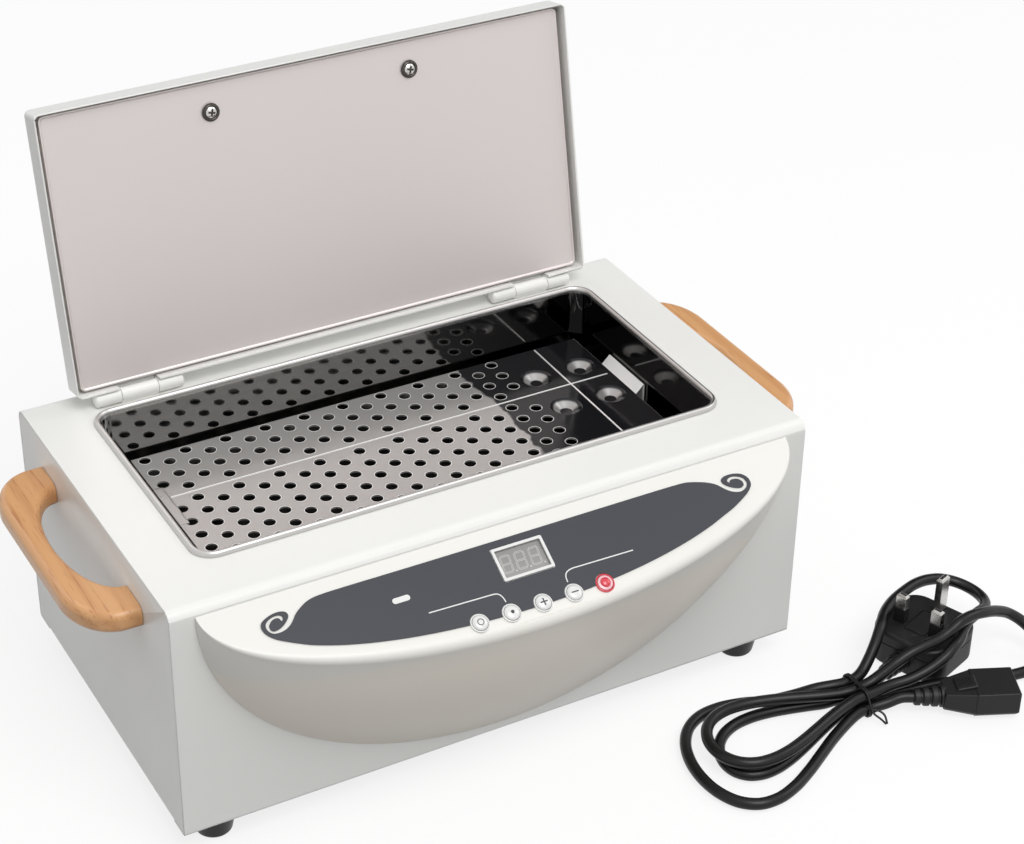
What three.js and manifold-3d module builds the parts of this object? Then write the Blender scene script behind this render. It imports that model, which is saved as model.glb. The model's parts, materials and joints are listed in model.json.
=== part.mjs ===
// Bench-top dry heat sterilizer: a folded steel casing with a polished tank and a perforated tray,
// a hinged lid, a half-moon control fascia, two wooden handles and a detachable mains lead.
// Units are millimetres, +Z is up, -Y is the front. The origin is the middle of the footprint,
// on the surface that the feet stand on.
import * as THREE from "three";
import { mergeVertices } from "three/addons/utils/BufferGeometryUtils.js";
import Module from "manifold-3d";

const wasm = await Module();
wasm.setup();

// Clearances and allowances
const seatGap = 0.3; // between pieces that rest on or fit in each other
const overrun = 2; // how far a cutting body passes the wall that it cuts
const turn = Math.PI * 2;
const degree = Math.PI / 180;

// Casing
const caseWidth = 360;
const caseDepth = 208;
const caseHeight = 137;
const caseSheet = 1;
const caseBend = 6; // outside radius of the long bends at the top
const caseFoot = 2.5; // outside radius of the bends into the base flanges
const baseFlange = 14; // how far the base flanges turn in under the casing
const sideFlange = 10;

// Feet
const footHeight = 15;
const footTopRadius = 9.5;
const footTipRadius = 7.4;
const footRound = 2.2;
const footInsetX = 22;
const footInsetY = 17;
const footScrewRadius = 2;
const footScrewHead = 3.6;
const footRecess = 8;
const footRecessRadius = 4.2;

// Tank
const tankLength = 295.6;
const tankWidth = 142;
const tankDepth = 40;
const tankSheet = 1;
const tankCorner = 9;
const tankCentreY = 3;
const rimWidth = 3.4;
const rimHeight = 3;

// Tray
const trayLeft = -129.5;
const trayBackGap = 4.4; // between the plate and the tank wall
const trayFrontGap = 7.4;
const traySheet = 1;
const trayLift = 10.4; // underside of the plate above the tank floor
const trayHoleRadius = 3.25;
const trayColumnPitch = 11.7;
const trayHolePitch = 12.8;
const trayLastColumn = 85.2;
const trayColumns = 19;
const trayHoleSides = 6;
const creaseY = 27.3; // the lengthwise crease
const creaseX = 115; // the cross crease
const creaseWidth = 1.6;
const creaseHeight = 0.5;
const dimpleSpanX = 28.4;
const dimpleSpanY = 33.4;
const dimpleShift = -2.6; // the dimples' middle lies this far in front of the lengthwise crease
const dimpleRadius = 8.2;
const dimpleFloorRadius = 3.6;
const dimpleDepth = 3.5;
const tabWidth = 37;
const tabCentreY = 19.5;
const tabReach = 4.6;
const tabRise = 4.6;
const leftTabFold = 3; // the left tab folds this far inside the plate's end
const trayEndGap = 0.6; // between the right tab and the end of the tank
const trayRight = tankLength / 2 - trayEndGap - traySheet - tabReach;
const trayBack = tankCentreY + tankWidth / 2 - trayBackGap;
const trayFront = tankCentreY - tankWidth / 2 + trayFrontGap;

// Lid
const lidWidth = 308;
const lidLength = 154;
const lidHeight = 15.4;
const lidSheet = 1;
const lidCorner = 3;
const lidRestGap = 0.5; // between the closed lid's edge and the casing
const lidLean = 11.5 * degree; // how far the open lid leans back past upright
const linerMargin = 4.2;
const linerFrontMargin = 1.9;
const linerRecess = 4;
const linerSheet = 0.8;
const linerLip = 5;
const lidScrewSpread = 58;
const lidScrewInset = 18.6;
const lidScrewRadius = 1.8;
const lidWasherRadius = 5;
const lidStudRadius = 3.4;

// Hinges
const hingeBehindTank = 9.7;
const hingeAxisY = tankCentreY + tankWidth / 2 + hingeBehindTank;
const hingeAxisHeight = 4.4; // above the casing's top
const hingeRadius = 3.9;
const hingePinRadius = 1.5;
const hingeCentreX = 119.3;
const hingeLength = 47.6;
const hingeMiddle = 20.6; // length of the knuckle that belongs to the casing
const hingeLeaf = 1.2;
const hingeLeafReach = 9;
const hingeNotch = 1; // extra width of the lid's notch on each side of the middle knuckle
const hingeTongue = 13.5;

// Fascia
const fasciaHalfLength = 167;
const fasciaReach = 57; // of the sloped face, measured down the slope
const fasciaSlope = 30 * degree;
const fasciaDrop = 126; // from the top edge to the lowest point on the front wall
const fasciaTopBelow = 4.8; // top edge below the casing's top
const fasciaRound = 6.5;
const fasciaBelly = 5; // how far the lower face bows out
const fasciaWall = 2.6;
const labelThickness = 0.4;
const labelCentreX = -3;
const labelHalfLength = 141; // of the ellipse that its lower edge follows
const labelArcDown = 9.5;
const labelArcRise = 36;
const labelTopDown = 8.3;
const labelTongueDown = 20.2;
const labelLeftX = -131;
const labelRightX = 128.5;
const labelShoulder = 25;
const scrollRadius = 7;
const scrollBandWidth = 2.6;
const scrollCore = 2.9;
const scrollTurns = 1.3;
const bezelLength = 28.6;
const bezelWidth = 18.2;
const bezelThickness = 1.1;
const bezelCentreX = -1;
const bezelCentreDown = 21;
const bezelFrame = 1.6;
const moduleHeight = 6;
const buttonDown = 46.2; // row of buttons, measured down the slope
const buttonPitch = 17.6;
const buttonMiddleX = -1.4;
const buttonRadius = 4;
const buttonDome = 1.4;
const buttonProud = 0.9;
const collarRadius = 5.2;
const collarHeight = 0.7;
const buttonTravel = 0.8;
const buttonFlangeRadius = 4.9;
const buttonFlange = 0.8;
const boardDepth = 8.5; // of the board's top below the sloped face
const boardThickness = 1.6;
const boardLength = 96;
const boardWidth = 42.4;
const boardDown = 28.2;
const switchSide = 6;
const postRadius = 2.4;

// Handles
const handleReach = 32;
const handleHalfLength = 71.2;
const handleThickness = 12.5;
const handleRound = 3.5;
const handleGripReach = 19.5; // depth of the finger space
const handleGripHalf = 47.5;
const handleCornerReach = 24;
const handleCornerRun = 31.5;
const handleTopBelow = 18.2;
const handleCentreY = 2.7;
const handleBoltRadius = 2.4;
const handleBoltHead = 4.4;
const handleBoltLength = 14;

// Heater and insulation
const heaterRadius = 3.2;
const heaterRunHalf = 112;
const heaterPitch = 26;
const heaterRuns = 4;
const heaterClampWidth = 12;
const heaterClampSheet = 1.2;
const blanketThickness = 10;
const blanketLip = 6; // distance of the blanket's edge below the casing's top
const probeRadius = 3;
const probeLength = 42;

// Back panel fittings
const inletCentreX = 118;
const inletHeight = 40; // of its centre above the base
const inletFlangeWidth = 31;
const inletFlangeHeight = 24;
const inletFlange = 2.2;
const inletBodyWidth = 27;
const inletBodyHeight = 19.6;
const inletBodyDepth = 20;
const inletSocketWidth = 24.2;
const inletSocketHeight = 16.2;
const inletSocketDepth = 16;
const inletChamfer = 5;
const inletPinWidth = 2;
const inletPinHeight = 4;
const inletPinSpread = 7;
const inletPinOffset = 2;
const inletPinLength = 14;
const rockerCentreX = 150;
const rockerFrameWidth = 15;
const rockerFrameHeight = 21;
const rockerFrame = 2;
const rockerBodyDepth = 14;
const rockerWidth = 9.4;
const rockerHeight = 15;
const rockerThickness = 5.6;
const rockerTilt = 9 * degree;
const rockerProud = 1.6;

// Mains lead
const cordDiameter = 6.4;
const cordSides = 6;
const cordStepShare = 1.6; // length of one step of the cord's solid
const gapSampleCount = 3;
const gapSkipCount = 5;
const lobeSteps = 24;
const outerLobeReach = 105;
const outerLobeHalfWidth = 35;
const outerLobeLean = -16; // how far its far end swings to the front
const upperLobeReach = 92;
const upperLobeHalfWidth = 21.5;
const upperLobeLean = -6;
const innerLobeReach = 88;
const innerLobeHalfWidth = 19;
const innerLobeLean = -12;
const strandPitch = 7.2; // between the centres of strands that lie against each other
const strandRest = 3.5; // height of a strand's centre on the bench
const tieRise = 1.7; // how much higher the strands lie where the tie passes under them
const tieRoom = 1;
const tieThickness = 0.8;
const tieWidth = 5;
const waist = [187, -160];
const waistHalf = 3; // half the straight stretch through the tie
const connectorNeck = [226.4, -183.8];
const connectorTurn = -24 * degree;
const connectorWidth = 24;
const connectorThick = 17;
const connectorLength = 40;
const connectorChamfer = 4;
const connectorSlotDepth = 15;
const reliefLength = 15.5;
const reliefTailRadius = 4.2;
const reliefNeckRadius = 6;
const reliefRibs = 4;
const reliefRibDepth = 0.9;
const plugMiddle = [239.7, -142.7]; // midway between the line and neutral pins
const plugTurn = 20.6 * degree; // direction of the earth pin from there
const plugHeight = 22;
const plugHalfWidth = 23;
const plugEarthEnd = 29.5;
const plugCordEnd = 15.5;
const plugCorner = 12;
const plugEdge = 1.6;
const plugCordHeight = 9;
const pinSpread = 11.1;
const pinEarthOffset = 22.2;
const pinWidth = 6.35;
const pinThick = 3.98;
const pinLength = 17.7;
const pinSink = 6; // how far the pins reach into the plug
const pinTip = 1;
const earthWidth = 7.95;
const earthLength = 22.7;

// Heights worked out from the sizes above
const baseZ = footHeight;
const topZ = footHeight + caseHeight;
const frontY = -caseDepth / 2;
const backY = caseDepth / 2;
const sideX = caseWidth / 2;
const tankFloorZ = topZ - tankDepth;
const hingeAxisZ = topZ + hingeAxisHeight;
const lidBackOffset = hingeRadius + seatGap; // lid's rear face in front of the hinge axis
const lidEdgeOffset = hingeAxisHeight - lidRestGap; // lid's edge plane below the hinge axis
const lidOpenAngle = Math.PI / 2 + lidLean;
const fasciaTopZ = topZ - fasciaTopBelow;

// A closed geometry as a solid that can be joined and cut
function solidOf(geometry) {
  const bare = geometry.index ? geometry.toNonIndexed() : geometry.clone();
  for (const name of Object.keys(bare.attributes)) {
    if (name !== "position") bare.deleteAttribute(name);
  }
  const merged = mergeVertices(bare, 1e-4);
  return new wasm.Manifold(
    new wasm.Mesh({
      numProp: 3,
      vertProperties: merged.attributes.position.array,
      triVerts: new Uint32Array(merged.index.array),
    }),
  );
}

function join(first, ...others) {
  return others.reduce((sum, other) => sum.add(other), first);
}

function cut(first, ...others) {
  return others.reduce((rest, other) => rest.subtract(other), first);
}

function geometryOf(solid) {
  const mesh = solid.getMesh();
  const points = new Float32Array(mesh.numVert * 3);
  for (let i = 0; i < mesh.numVert; i += 1) {
    const start = i * mesh.numProp;
    points.set(mesh.vertProperties.subarray(start, start + 3), i * 3);
  }
  const geometry = new THREE.BufferGeometry();
  geometry.setAttribute("position", new THREE.BufferAttribute(points, 3));
  geometry.setIndex(new THREE.BufferAttribute(new Uint32Array(mesh.triVerts), 1));
  return geometry;
}

// Turns a shape's outline given as [x, y] pairs into a THREE.Shape
function shapeOf(points) {
  return new THREE.Shape(points.map(([x, y]) => new THREE.Vector2(x, y)));
}

// Points on an arc of an ellipse, both ends included
function arcPoints(centreX, centreY, radiusX, radiusY, from, to, steps) {
  const points = [];
  for (let i = 0; i <= steps; i += 1) {
    const angle = from + ((to - from) * i) / steps;
    points.push([centreX + radiusX * Math.cos(angle), centreY + radiusY * Math.sin(angle)]);
  }
  return points;
}

function roundedRectangle(width, depth, radius, steps = 4) {
  const x = width / 2 - radius;
  const y = depth / 2 - radius;
  const quarter = Math.PI / 2;
  return [
    ...arcPoints(x, y, radius, radius, 0, quarter, steps),
    ...arcPoints(-x, y, radius, radius, quarter, 2 * quarter, steps),
    ...arcPoints(-x, -y, radius, radius, 2 * quarter, 3 * quarter, steps),
    ...arcPoints(x, -y, radius, radius, 3 * quarter, 4 * quarter, steps),
  ];
}

// A straight prism standing on z = low
function prism(outline, low, high, holes = []) {
  const shape = shapeOf(outline);
  for (const hole of holes) shape.holes.push(shapeOf(hole));
  const geometry = new THREE.ExtrudeGeometry(shape, { depth: high - low, bevelEnabled: false });
  return geometry.translate(0, 0, low);
}

// The same prism turned so that the outline's axes are Y and Z and its length runs along X
function prismAlongX(outline, low, high, holes = []) {
  const toX = new THREE.Matrix4().makeBasis(
    new THREE.Vector3(0, 1, 0),
    new THREE.Vector3(0, 0, 1),
    new THREE.Vector3(1, 0, 0),
  );
  return prism(outline, low, high, holes).applyMatrix4(toX);
}

function box(low, high) {
  const size = high.map((value, axis) => value - low[axis]);
  const middle = high.map((value, axis) => (value + low[axis]) / 2);
  return new THREE.BoxGeometry(...size).translate(...middle);
}

// A body turned about Z; the profile's pairs are radius and height, from the axis round to the axis
function lathe(profile, sides = 16) {
  const points = profile.map(([radius, height]) => new THREE.Vector2(radius, height));
  return new THREE.LatheGeometry(points, sides).rotateX(Math.PI / 2);
}

function cylinder(radius, low, high, sides = 16) {
  const geometry = new THREE.CylinderGeometry(radius, radius, high - low, sides);
  return geometry.rotateX(Math.PI / 2).translate(0, 0, (low + high) / 2);
}

const whitePaint = () => new THREE.MeshStandardMaterial({ color: 0xecece8, roughness: 0.42, metalness: 0.1 });
const polishedSteel = () =>
  new THREE.MeshStandardMaterial({ color: 0xc9c8c4, roughness: 0.14, metalness: 1 });
const plainSteel = () => new THREE.MeshStandardMaterial({ color: 0xb4b6b8, roughness: 0.4, metalness: 1 });
const creamPlastic = () => new THREE.MeshStandardMaterial({ color: 0xeeede6, roughness: 0.36, metalness: 0 });
const slateFilm = () => new THREE.MeshStandardMaterial({ color: 0x50545e, roughness: 0.4, metalness: 0 });
const greyWindow = () => new THREE.MeshStandardMaterial({ color: 0x9d9b98, roughness: 0.3, metalness: 0 });
const redPlastic = () => new THREE.MeshStandardMaterial({ color: 0xd8283a, roughness: 0.3, metalness: 0 });
const beechWood = () => new THREE.MeshStandardMaterial({ color: 0xcf945c, roughness: 0.45, metalness: 0 });
const blackRubber = () => new THREE.MeshStandardMaterial({ color: 0x141414, roughness: 0.7, metalness: 0 });
const blackPlastic = () => new THREE.MeshStandardMaterial({ color: 0x1c1c1e, roughness: 0.45, metalness: 0 });
const brass = () => new THREE.MeshStandardMaterial({ color: 0xb9ae96, roughness: 0.3, metalness: 1 });
const boardGreen = () => new THREE.MeshStandardMaterial({ color: 0x1f5a3a, roughness: 0.5, metalness: 0 });
const glassWool = () => new THREE.MeshStandardMaterial({ color: 0xd9cfa8, roughness: 0.95, metalness: 0 });

const sterilizer = new THREE.Group();
const appliance = new THREE.Group(); // everything but the mains lead
sterilizer.add(appliance);

function place(parent, name, geometry, material) {
  const mesh = new THREE.Mesh(geometry, material);
  mesh.name = name;
  parent.add(mesh);
  return mesh;
}

// Casing: front, top and back are one folded sheet, closed by two side panels and a base pan
function wrapOutline(inset) {
  const front = frontY + inset;
  const back = backY - inset;
  const top = topZ - inset;
  const bottom = baseZ + inset;
  const bend = caseBend - inset;
  const foot = caseFoot - inset;
  const quarter = Math.PI / 2;
  return [
    ...arcPoints(back - bend, top - bend, bend, bend, 0, quarter, 5),
    ...arcPoints(front + bend, top - bend, bend, bend, quarter, 2 * quarter, 5),
    ...arcPoints(front + foot, bottom + foot, foot, foot, 2 * quarter, 3 * quarter, 3),
    ...arcPoints(back - foot, bottom + foot, foot, foot, 3 * quarter, 4 * quarter, 3),
  ];
}

function makeOuterCasing() {
  const sheet = solidOf(prismAlongX(wrapOutline(0), -sideX, sideX));
  const inside = solidOf(prismAlongX(wrapOutline(caseSheet), -sideX - overrun, sideX + overrun));
  const baseOpening = box(
    [-sideX - overrun, frontY + baseFlange, baseZ - overrun],
    [sideX + overrun, backY - baseFlange, baseZ + caseSheet + overrun],
  );
  const tankHole = prism(
    roundedRectangle(
      tankLength + 2 * (tankSheet + seatGap),
      tankWidth + 2 * (tankSheet + seatGap),
      tankCorner,
    ),
    topZ - caseSheet - overrun,
    topZ + overrun,
  ).translate(0, tankCentreY, 0);
  const wireHole = box(
    [-boardLength / 4, frontY - overrun, topZ - fasciaDrop / 2],
    [boardLength / 4, frontY + caseSheet + overrun, topZ - fasciaDrop / 4],
  );
  const backHole = (centreX, width, height) =>
    box(
      [centreX - width / 2 - seatGap, backY - caseSheet - overrun, inletZ() - height / 2 - seatGap],
      [centreX + width / 2 + seatGap, backY + overrun, inletZ() + height / 2 + seatGap],
    );
  const inletHole = backHole(inletCentreX, inletBodyWidth, inletBodyHeight);
  const rockerHole = backHole(
    rockerCentreX,
    rockerFrameWidth - rockerFrame,
    rockerFrameHeight - rockerFrame,
  );
  return cut(
    sheet,
    inside,
    ...[baseOpening, tankHole, wireHole, inletHole, rockerHole].map(solidOf),
    ...handleBoltHoles().map(solidOf),
  );
}

function inletZ() {
  return baseZ + inletHeight;
}

function makeSidePanel(side) {
  const gap = caseSheet + seatGap;
  const outline = wrapOutline(gap);
  const inner = wrapOutline(gap + caseSheet);
  const outerX = sideX;
  const faceX = outerX - caseSheet;
  const panel = solidOf(prismAlongX(outline, faceX - sideFlange, outerX));
  const hollow = solidOf(prismAlongX(inner, faceX - sideFlange - overrun, faceX));
  const base = box(
    [faceX - sideFlange - overrun, frontY + gap + caseFoot - seatGap, baseZ],
    [faceX, backY - gap - caseFoot + seatGap, baseZ + gap + caseSheet + overrun],
  );
  const bare = cut(panel, hollow, solidOf(base), ...handleBoltHoles().map(solidOf));
  return side > 0 ? bare : bare.mirror([1, 0, 0]);
}

function makeBasePan() {
  const gap = caseSheet + seatGap;
  const top = baseZ + caseSheet + seatGap + caseSheet;
  const halfX = sideX - caseSheet - seatGap;
  const halfY = caseDepth / 2 - gap - caseFoot;
  const pan = solidOf(box([-halfX, -halfY, top - caseSheet], [halfX, halfY, top]));
  const holes = footPlaces().map(([x, y]) =>
    solidOf(
      cylinder(footScrewRadius + seatGap, top - caseSheet - overrun, top + overrun, 12).translate(x, y, 0),
    ),
  );
  return cut(pan, ...holes);
}

// Feet: tapered rubber bumpers with a countersunk recess for the screw
function footPlaces() {
  const x = sideX - footInsetX;
  const y = caseDepth / 2 - footInsetY;
  return [
    [-x, -y],
    [x, -y],
    [x, y],
    [-x, y],
  ];
}

function makeFoot() {
  const quarter = Math.PI / 2;
  const edge = arcPoints(footTipRadius - footRound, footRound, footRound, footRound, -quarter, 0, 2);
  return lathe(
    [
      [footRecessRadius, 0],
      ...edge,
      [footTopRadius, footHeight - seatGap],
      [footScrewRadius + seatGap, footHeight - seatGap],
      [footScrewRadius + seatGap, footRecess],
      [footRecessRadius, footRecess],
      [footRecessRadius, 0],
    ],
    12,
  );
}

function makeFootScrew() {
  const head = footRecess - seatGap;
  return lathe(
    [
      [0, head - footScrewHead / 2],
      [footScrewHead * 0.7, head - footScrewHead / 2],
      [footScrewHead, head - footScrewHead / 4],
      [footScrewHead, head],
      [footScrewRadius, head],
      [footScrewRadius, footHeight + 2 * caseSheet + 2 * footScrewHead],
      [0, footHeight + 2 * caseSheet + 2 * footScrewHead],
    ],
    8,
  );
}

// Tank: a drawn tub with a rounded rim bead that sits on the casing
function tankOutline(grow) {
  return roundedRectangle(tankLength + 2 * grow, tankWidth + 2 * grow, tankCorner + grow, 5);
}

function makeTank() {
  const tub = solidOf(prism(tankOutline(tankSheet), tankFloorZ - tankSheet, topZ + rimHeight / 2));
  const hollow = solidOf(prism(tankOutline(0), tankFloorZ, topZ + rimHeight + overrun));
  const beadOutline = tankOutline(rimWidth - rimHeight / 3);
  const bead = new THREE.Shape(beadOutline.map(([x, y]) => new THREE.Vector2(x, y)));
  bead.holes.push(shapeOf(tankOutline(rimHeight / 3)));
  const rim = new THREE.ExtrudeGeometry(bead, {
    depth: rimHeight / 3 - seatGap,
    bevelEnabled: true,
    bevelThickness: rimHeight / 3,
    bevelSize: rimHeight / 3,
    bevelSegments: 3,
  }).translate(0, 0, topZ + seatGap + rimHeight / 3);
  return cut(tub, hollow).add(solidOf(rim)).translate([0, tankCentreY, 0]);
}

// Tray: a perforated plate with two crossing creases, four pressed dimples and a folded tab at each end
function trayHoles() {
  const holes = [];
  const reach = trayHoleRadius + traySheet / 2;
  const rows = Math.ceil((trayBack - trayFront) / trayHolePitch);
  for (let column = 0; column < trayColumns; column += 1) {
    const staggered = column % 2 === 1;
    const x = trayLastColumn - column * trayColumnPitch;
    for (let row = -rows; row <= rows; row += 1) {
      const y = creaseY + (staggered ? row - 1 / 2 : row) * trayHolePitch;
      const onCrease = !staggered && row === 0;
      if (!onCrease && y > trayFront + reach && y < trayBack - reach) holes.push([x, y]);
    }
  }
  return holes;
}

function dimplePlaces() {
  const places = [];
  for (const sideways of [-1, 1]) {
    for (const along of [-1, 1]) {
      places.push([
        creaseX + (sideways * dimpleSpanX) / 2,
        creaseY + dimpleShift + (along * dimpleSpanY) / 2,
      ]);
    }
  }
  return places;
}

function makeDimple() {
  return lathe(
    [
      [0, -dimpleDepth],
      [dimpleFloorRadius, -dimpleDepth],
      [dimpleRadius, 0],
      [dimpleRadius, traySheet],
      [dimpleRadius - traySheet / 2, traySheet],
      [dimpleFloorRadius, traySheet - dimpleDepth],
      [0, traySheet - dimpleDepth],
    ],
    14,
  );
}

// The folded strip at one end: up and out from the plate, then down to the tank floor
function makeTab(foldX, side) {
  const foot = -trayLift + seatGap;
  const outer = foldX + side * (tabReach + traySheet);
  const outline = [
    [foldX - side * traySheet, 0],
    [foldX, 0],
    [outer - side * traySheet, tabRise],
    [outer - side * traySheet, foot],
    [outer, foot],
    [outer, tabRise + traySheet],
    [outer - side * traySheet, tabRise + traySheet],
    [foldX, traySheet],
    [foldX - side * traySheet, traySheet],
  ];
  const upright = new THREE.Matrix4().makeBasis(
    new THREE.Vector3(1, 0, 0),
    new THREE.Vector3(0, 0, 1),
    new THREE.Vector3(0, -1, 0),
  );
  return prism(side > 0 ? outline : outline.reverse(), 0, tabWidth)
    .applyMatrix4(upright)
    .translate(0, tabCentreY + tabWidth / 2, 0);
}

function creaseRib(length) {
  const half = creaseWidth / 2;
  const outline = [
    [-half, traySheet - creaseHeight],
    [half, traySheet - creaseHeight],
    [half, traySheet],
    [0, traySheet + creaseHeight],
    [-half, traySheet],
  ];
  return prismAlongX(outline, -length / 2, length / 2);
}

function makeTray() {
  const outline = [
    [trayLeft, trayFront],
    [trayRight, trayFront],
    [trayRight, trayBack],
    [trayLeft, trayBack],
  ];
  const hole = arcPoints(0, 0, trayHoleRadius, trayHoleRadius, 0, turn, trayHoleSides).slice(1);
  const holes = trayHoles().map(([x, y]) => hole.map(([dx, dy]) => [x + dx, y + dy]).reverse());
  const plate = solidOf(prism(outline, 0, traySheet, holes));
  const leftFold = trayLeft + leftTabFold;
  const tabSlot = box(
    [trayLeft - overrun, tabCentreY - tabWidth / 2 - seatGap, -overrun],
    [leftFold, tabCentreY + tabWidth / 2 + seatGap, traySheet + overrun],
  );
  const dimpleHole = cylinder(dimpleRadius - traySheet / 4, -overrun, traySheet + overrun, 14);
  const dimpleHoles = dimplePlaces().map(([x, y]) => solidOf(dimpleHole.clone().translate(x, y, 0)));
  const dimples = dimplePlaces().map(([x, y]) => solidOf(makeDimple().translate(x, y, 0)));
  const creaseRun = trayRight - trayLeft - 2 * leftTabFold;
  const crossRun = trayBack - trayFront;
  const ribs = [
    creaseRib(creaseRun).translate((trayLeft + trayRight) / 2, creaseY, 0),
    creaseRib(crossRun - creaseWidth).rotateZ(Math.PI / 2).translate(creaseX, (trayFront + trayBack) / 2, 0),
  ];
  return join(
    cut(plate, solidOf(tabSlot), ...dimpleHoles),
    ...dimples,
    ...ribs.map(solidOf),
    solidOf(makeTab(trayRight, 1)),
    solidOf(makeTab(leftFold, -1)),
  ).translate([0, 0, tankFloorZ + trayLift]);
}

// Lid, drawn closed about the hinge axis and turned open with its group
const lidFront = -lidBackOffset - lidLength;
const lidLow = -lidEdgeOffset;
const linerZ = lidLow + linerRecess;

function makeLidShell() {
  const middleY = (lidFront - lidBackOffset) / 2;
  const skin = (inset, low, high) =>
    solidOf(
      prism(
        roundedRectangle(lidWidth - 2 * inset, lidLength - 2 * inset, lidCorner - inset),
        low,
        high,
      ).translate(
        0,
        middleY,
        0,
      ),
    );
  const edge = lidSheet * 1.2;
  const lidTop = lidLow + lidHeight;
  const shape = shapeOf(roundedRectangle(lidWidth - 2 * edge, lidLength - 2 * edge, lidCorner - edge));
  const shell = new THREE.ExtrudeGeometry(shape, {
    depth: lidHeight - 2 * edge,
    bevelEnabled: true,
    bevelThickness: edge,
    bevelSize: edge,
    bevelSegments: 3,
  }).translate(0, middleY, lidLow + edge);
  const lower = skin(0, lidLow, lidLow + lidHeight / 2);
  const hollow = skin(lidSheet, lidLow - overrun, lidTop - lidSheet);
  const notches = [-1, 1].map((side) =>
    solidOf(
      box(
        [
          side * hingeCentreX - hingeMiddle / 2 - hingeNotch,
          -lidBackOffset - lidSheet - overrun,
          lidLow - overrun,
        ],
        [side * hingeCentreX + hingeMiddle / 2 + hingeNotch, -lidBackOffset + overrun, hingeRadius + seatGap],
      ),
    ),
  );
  const studs = [-1, 1].map((side) =>
    solidOf(
      cylinder(lidStudRadius, linerZ + linerSheet + seatGap, lidTop - lidSheet / 2, 10).translate(
        side * lidScrewSpread,
        lidFront + lidScrewInset,
        0,
      ),
    ),
  );
  const screwBores = [-1, 1].map((side) =>
    solidOf(
      cylinder(lidScrewRadius + seatGap, lidLow, lidTop - 2 * lidSheet, 10).translate(
        side * lidScrewSpread,
        lidFront + lidScrewInset,
        0,
      ),
    ),
  );
  return cut(join(cut(join(solidOf(shell), lower), hollow), ...studs), ...notches, ...screwBores);
}

function makeLidLiner() {
  const length = lidLength - 2 * linerFrontMargin;
  const width = lidWidth - 2 * linerMargin;
  const middleY = (lidFront - lidBackOffset) / 2;
  const pan = solidOf(prism(roundedRectangle(width, length, lidCorner, 3), linerZ, linerZ + linerLip));
  const hollow = solidOf(
    prism(
      roundedRectangle(width - 2 * linerSheet, length - 2 * linerSheet, lidCorner - linerSheet, 3),
      linerZ + linerSheet,
      linerZ + linerLip + overrun,
    ),
  );
  const bores = [-1, 1].map((side) =>
    solidOf(
      cylinder(lidScrewRadius + seatGap, linerZ - overrun, linerZ + linerLip, 10).translate(
        side * lidScrewSpread,
        lidFront + lidScrewInset - middleY,
        0,
      ),
    ),
  );
  return cut(pan, hollow, ...bores).translate([0, middleY, 0]);
}

function makeLidInsulation() {
  const low = linerZ + linerSheet + seatGap;
  const high = lidLow + lidHeight - lidSheet - seatGap;
  const inset = linerMargin + linerSheet + seatGap;
  const front = lidFront + linerFrontMargin + linerSheet + seatGap;
  const back = -lidBackOffset - linerFrontMargin - linerSheet - seatGap;
  const outline = roundedRectangle(lidWidth - 2 * inset, back - front, lidCorner, 2);
  const slab = solidOf(prism(outline, low, high).translate(0, (front + back) / 2, 0));
  const rooms = [-1, 1].map((side) =>
    solidOf(
      cylinder(lidStudRadius + seatGap, low - overrun, high + overrun, 10).translate(
        side * lidScrewSpread,
        lidFront + lidScrewInset,
        0,
      ),
    ),
  );
  return cut(slab, ...rooms);
}

function makeLidScrew() {
  const face = linerZ - seatGap;
  return lathe(
    [
      [0, face - 2 * linerSheet],
      [lidWasherRadius / 2, face - 2 * linerSheet],
      [lidWasherRadius * 0.8, face - linerSheet],
      [lidWasherRadius, face],
      [lidScrewRadius, face],
      [lidScrewRadius, lidLow + lidHeight - 2 * lidSheet - seatGap],
      [0, lidLow + lidHeight - 2 * lidSheet - seatGap],
    ],
    14,
  );
}

// Hinges: two lid knuckles outside one long casing knuckle, on a loose pin
function knuckle(length) {
  return cut(
    solidOf(cylinder(hingeRadius, -length / 2, length / 2, 18).rotateY(Math.PI / 2)),
    solidOf(
      cylinder(hingePinRadius + seatGap, -length / 2 - overrun, length / 2 + overrun, 12).rotateY(
        Math.PI / 2,
      ),
    ),
  );
}

function makeLidHinge(side) {
  const outer = (hingeLength - hingeMiddle) / 2 - seatGap;
  const offset = hingeMiddle / 2 + seatGap + outer / 2;
  const leafTop = lidLow + lidHeight - lidSheet;
  const leaf = cut(
    solidOf(box([-hingeLength / 2, -hingeRadius, 0], [hingeLength / 2, hingeLeaf - hingeRadius, leafTop])),
    solidOf(
      box(
        [-hingeMiddle / 2 - seatGap, -hingeRadius - overrun, -overrun],
        [hingeMiddle / 2 + seatGap, overrun, hingeRadius + seatGap],
      ),
    ),
  );
  return join(leaf, knuckle(outer).translate([-offset, 0, 0]), knuckle(outer).translate([offset, 0, 0]))
    .subtract(
      solidOf(
        cylinder(hingePinRadius + seatGap, -hingeLength, hingeLength, 12).rotateY(Math.PI / 2),
      ),
    )
    .translate([side * hingeCentreX, 0, 0]);
}

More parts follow.
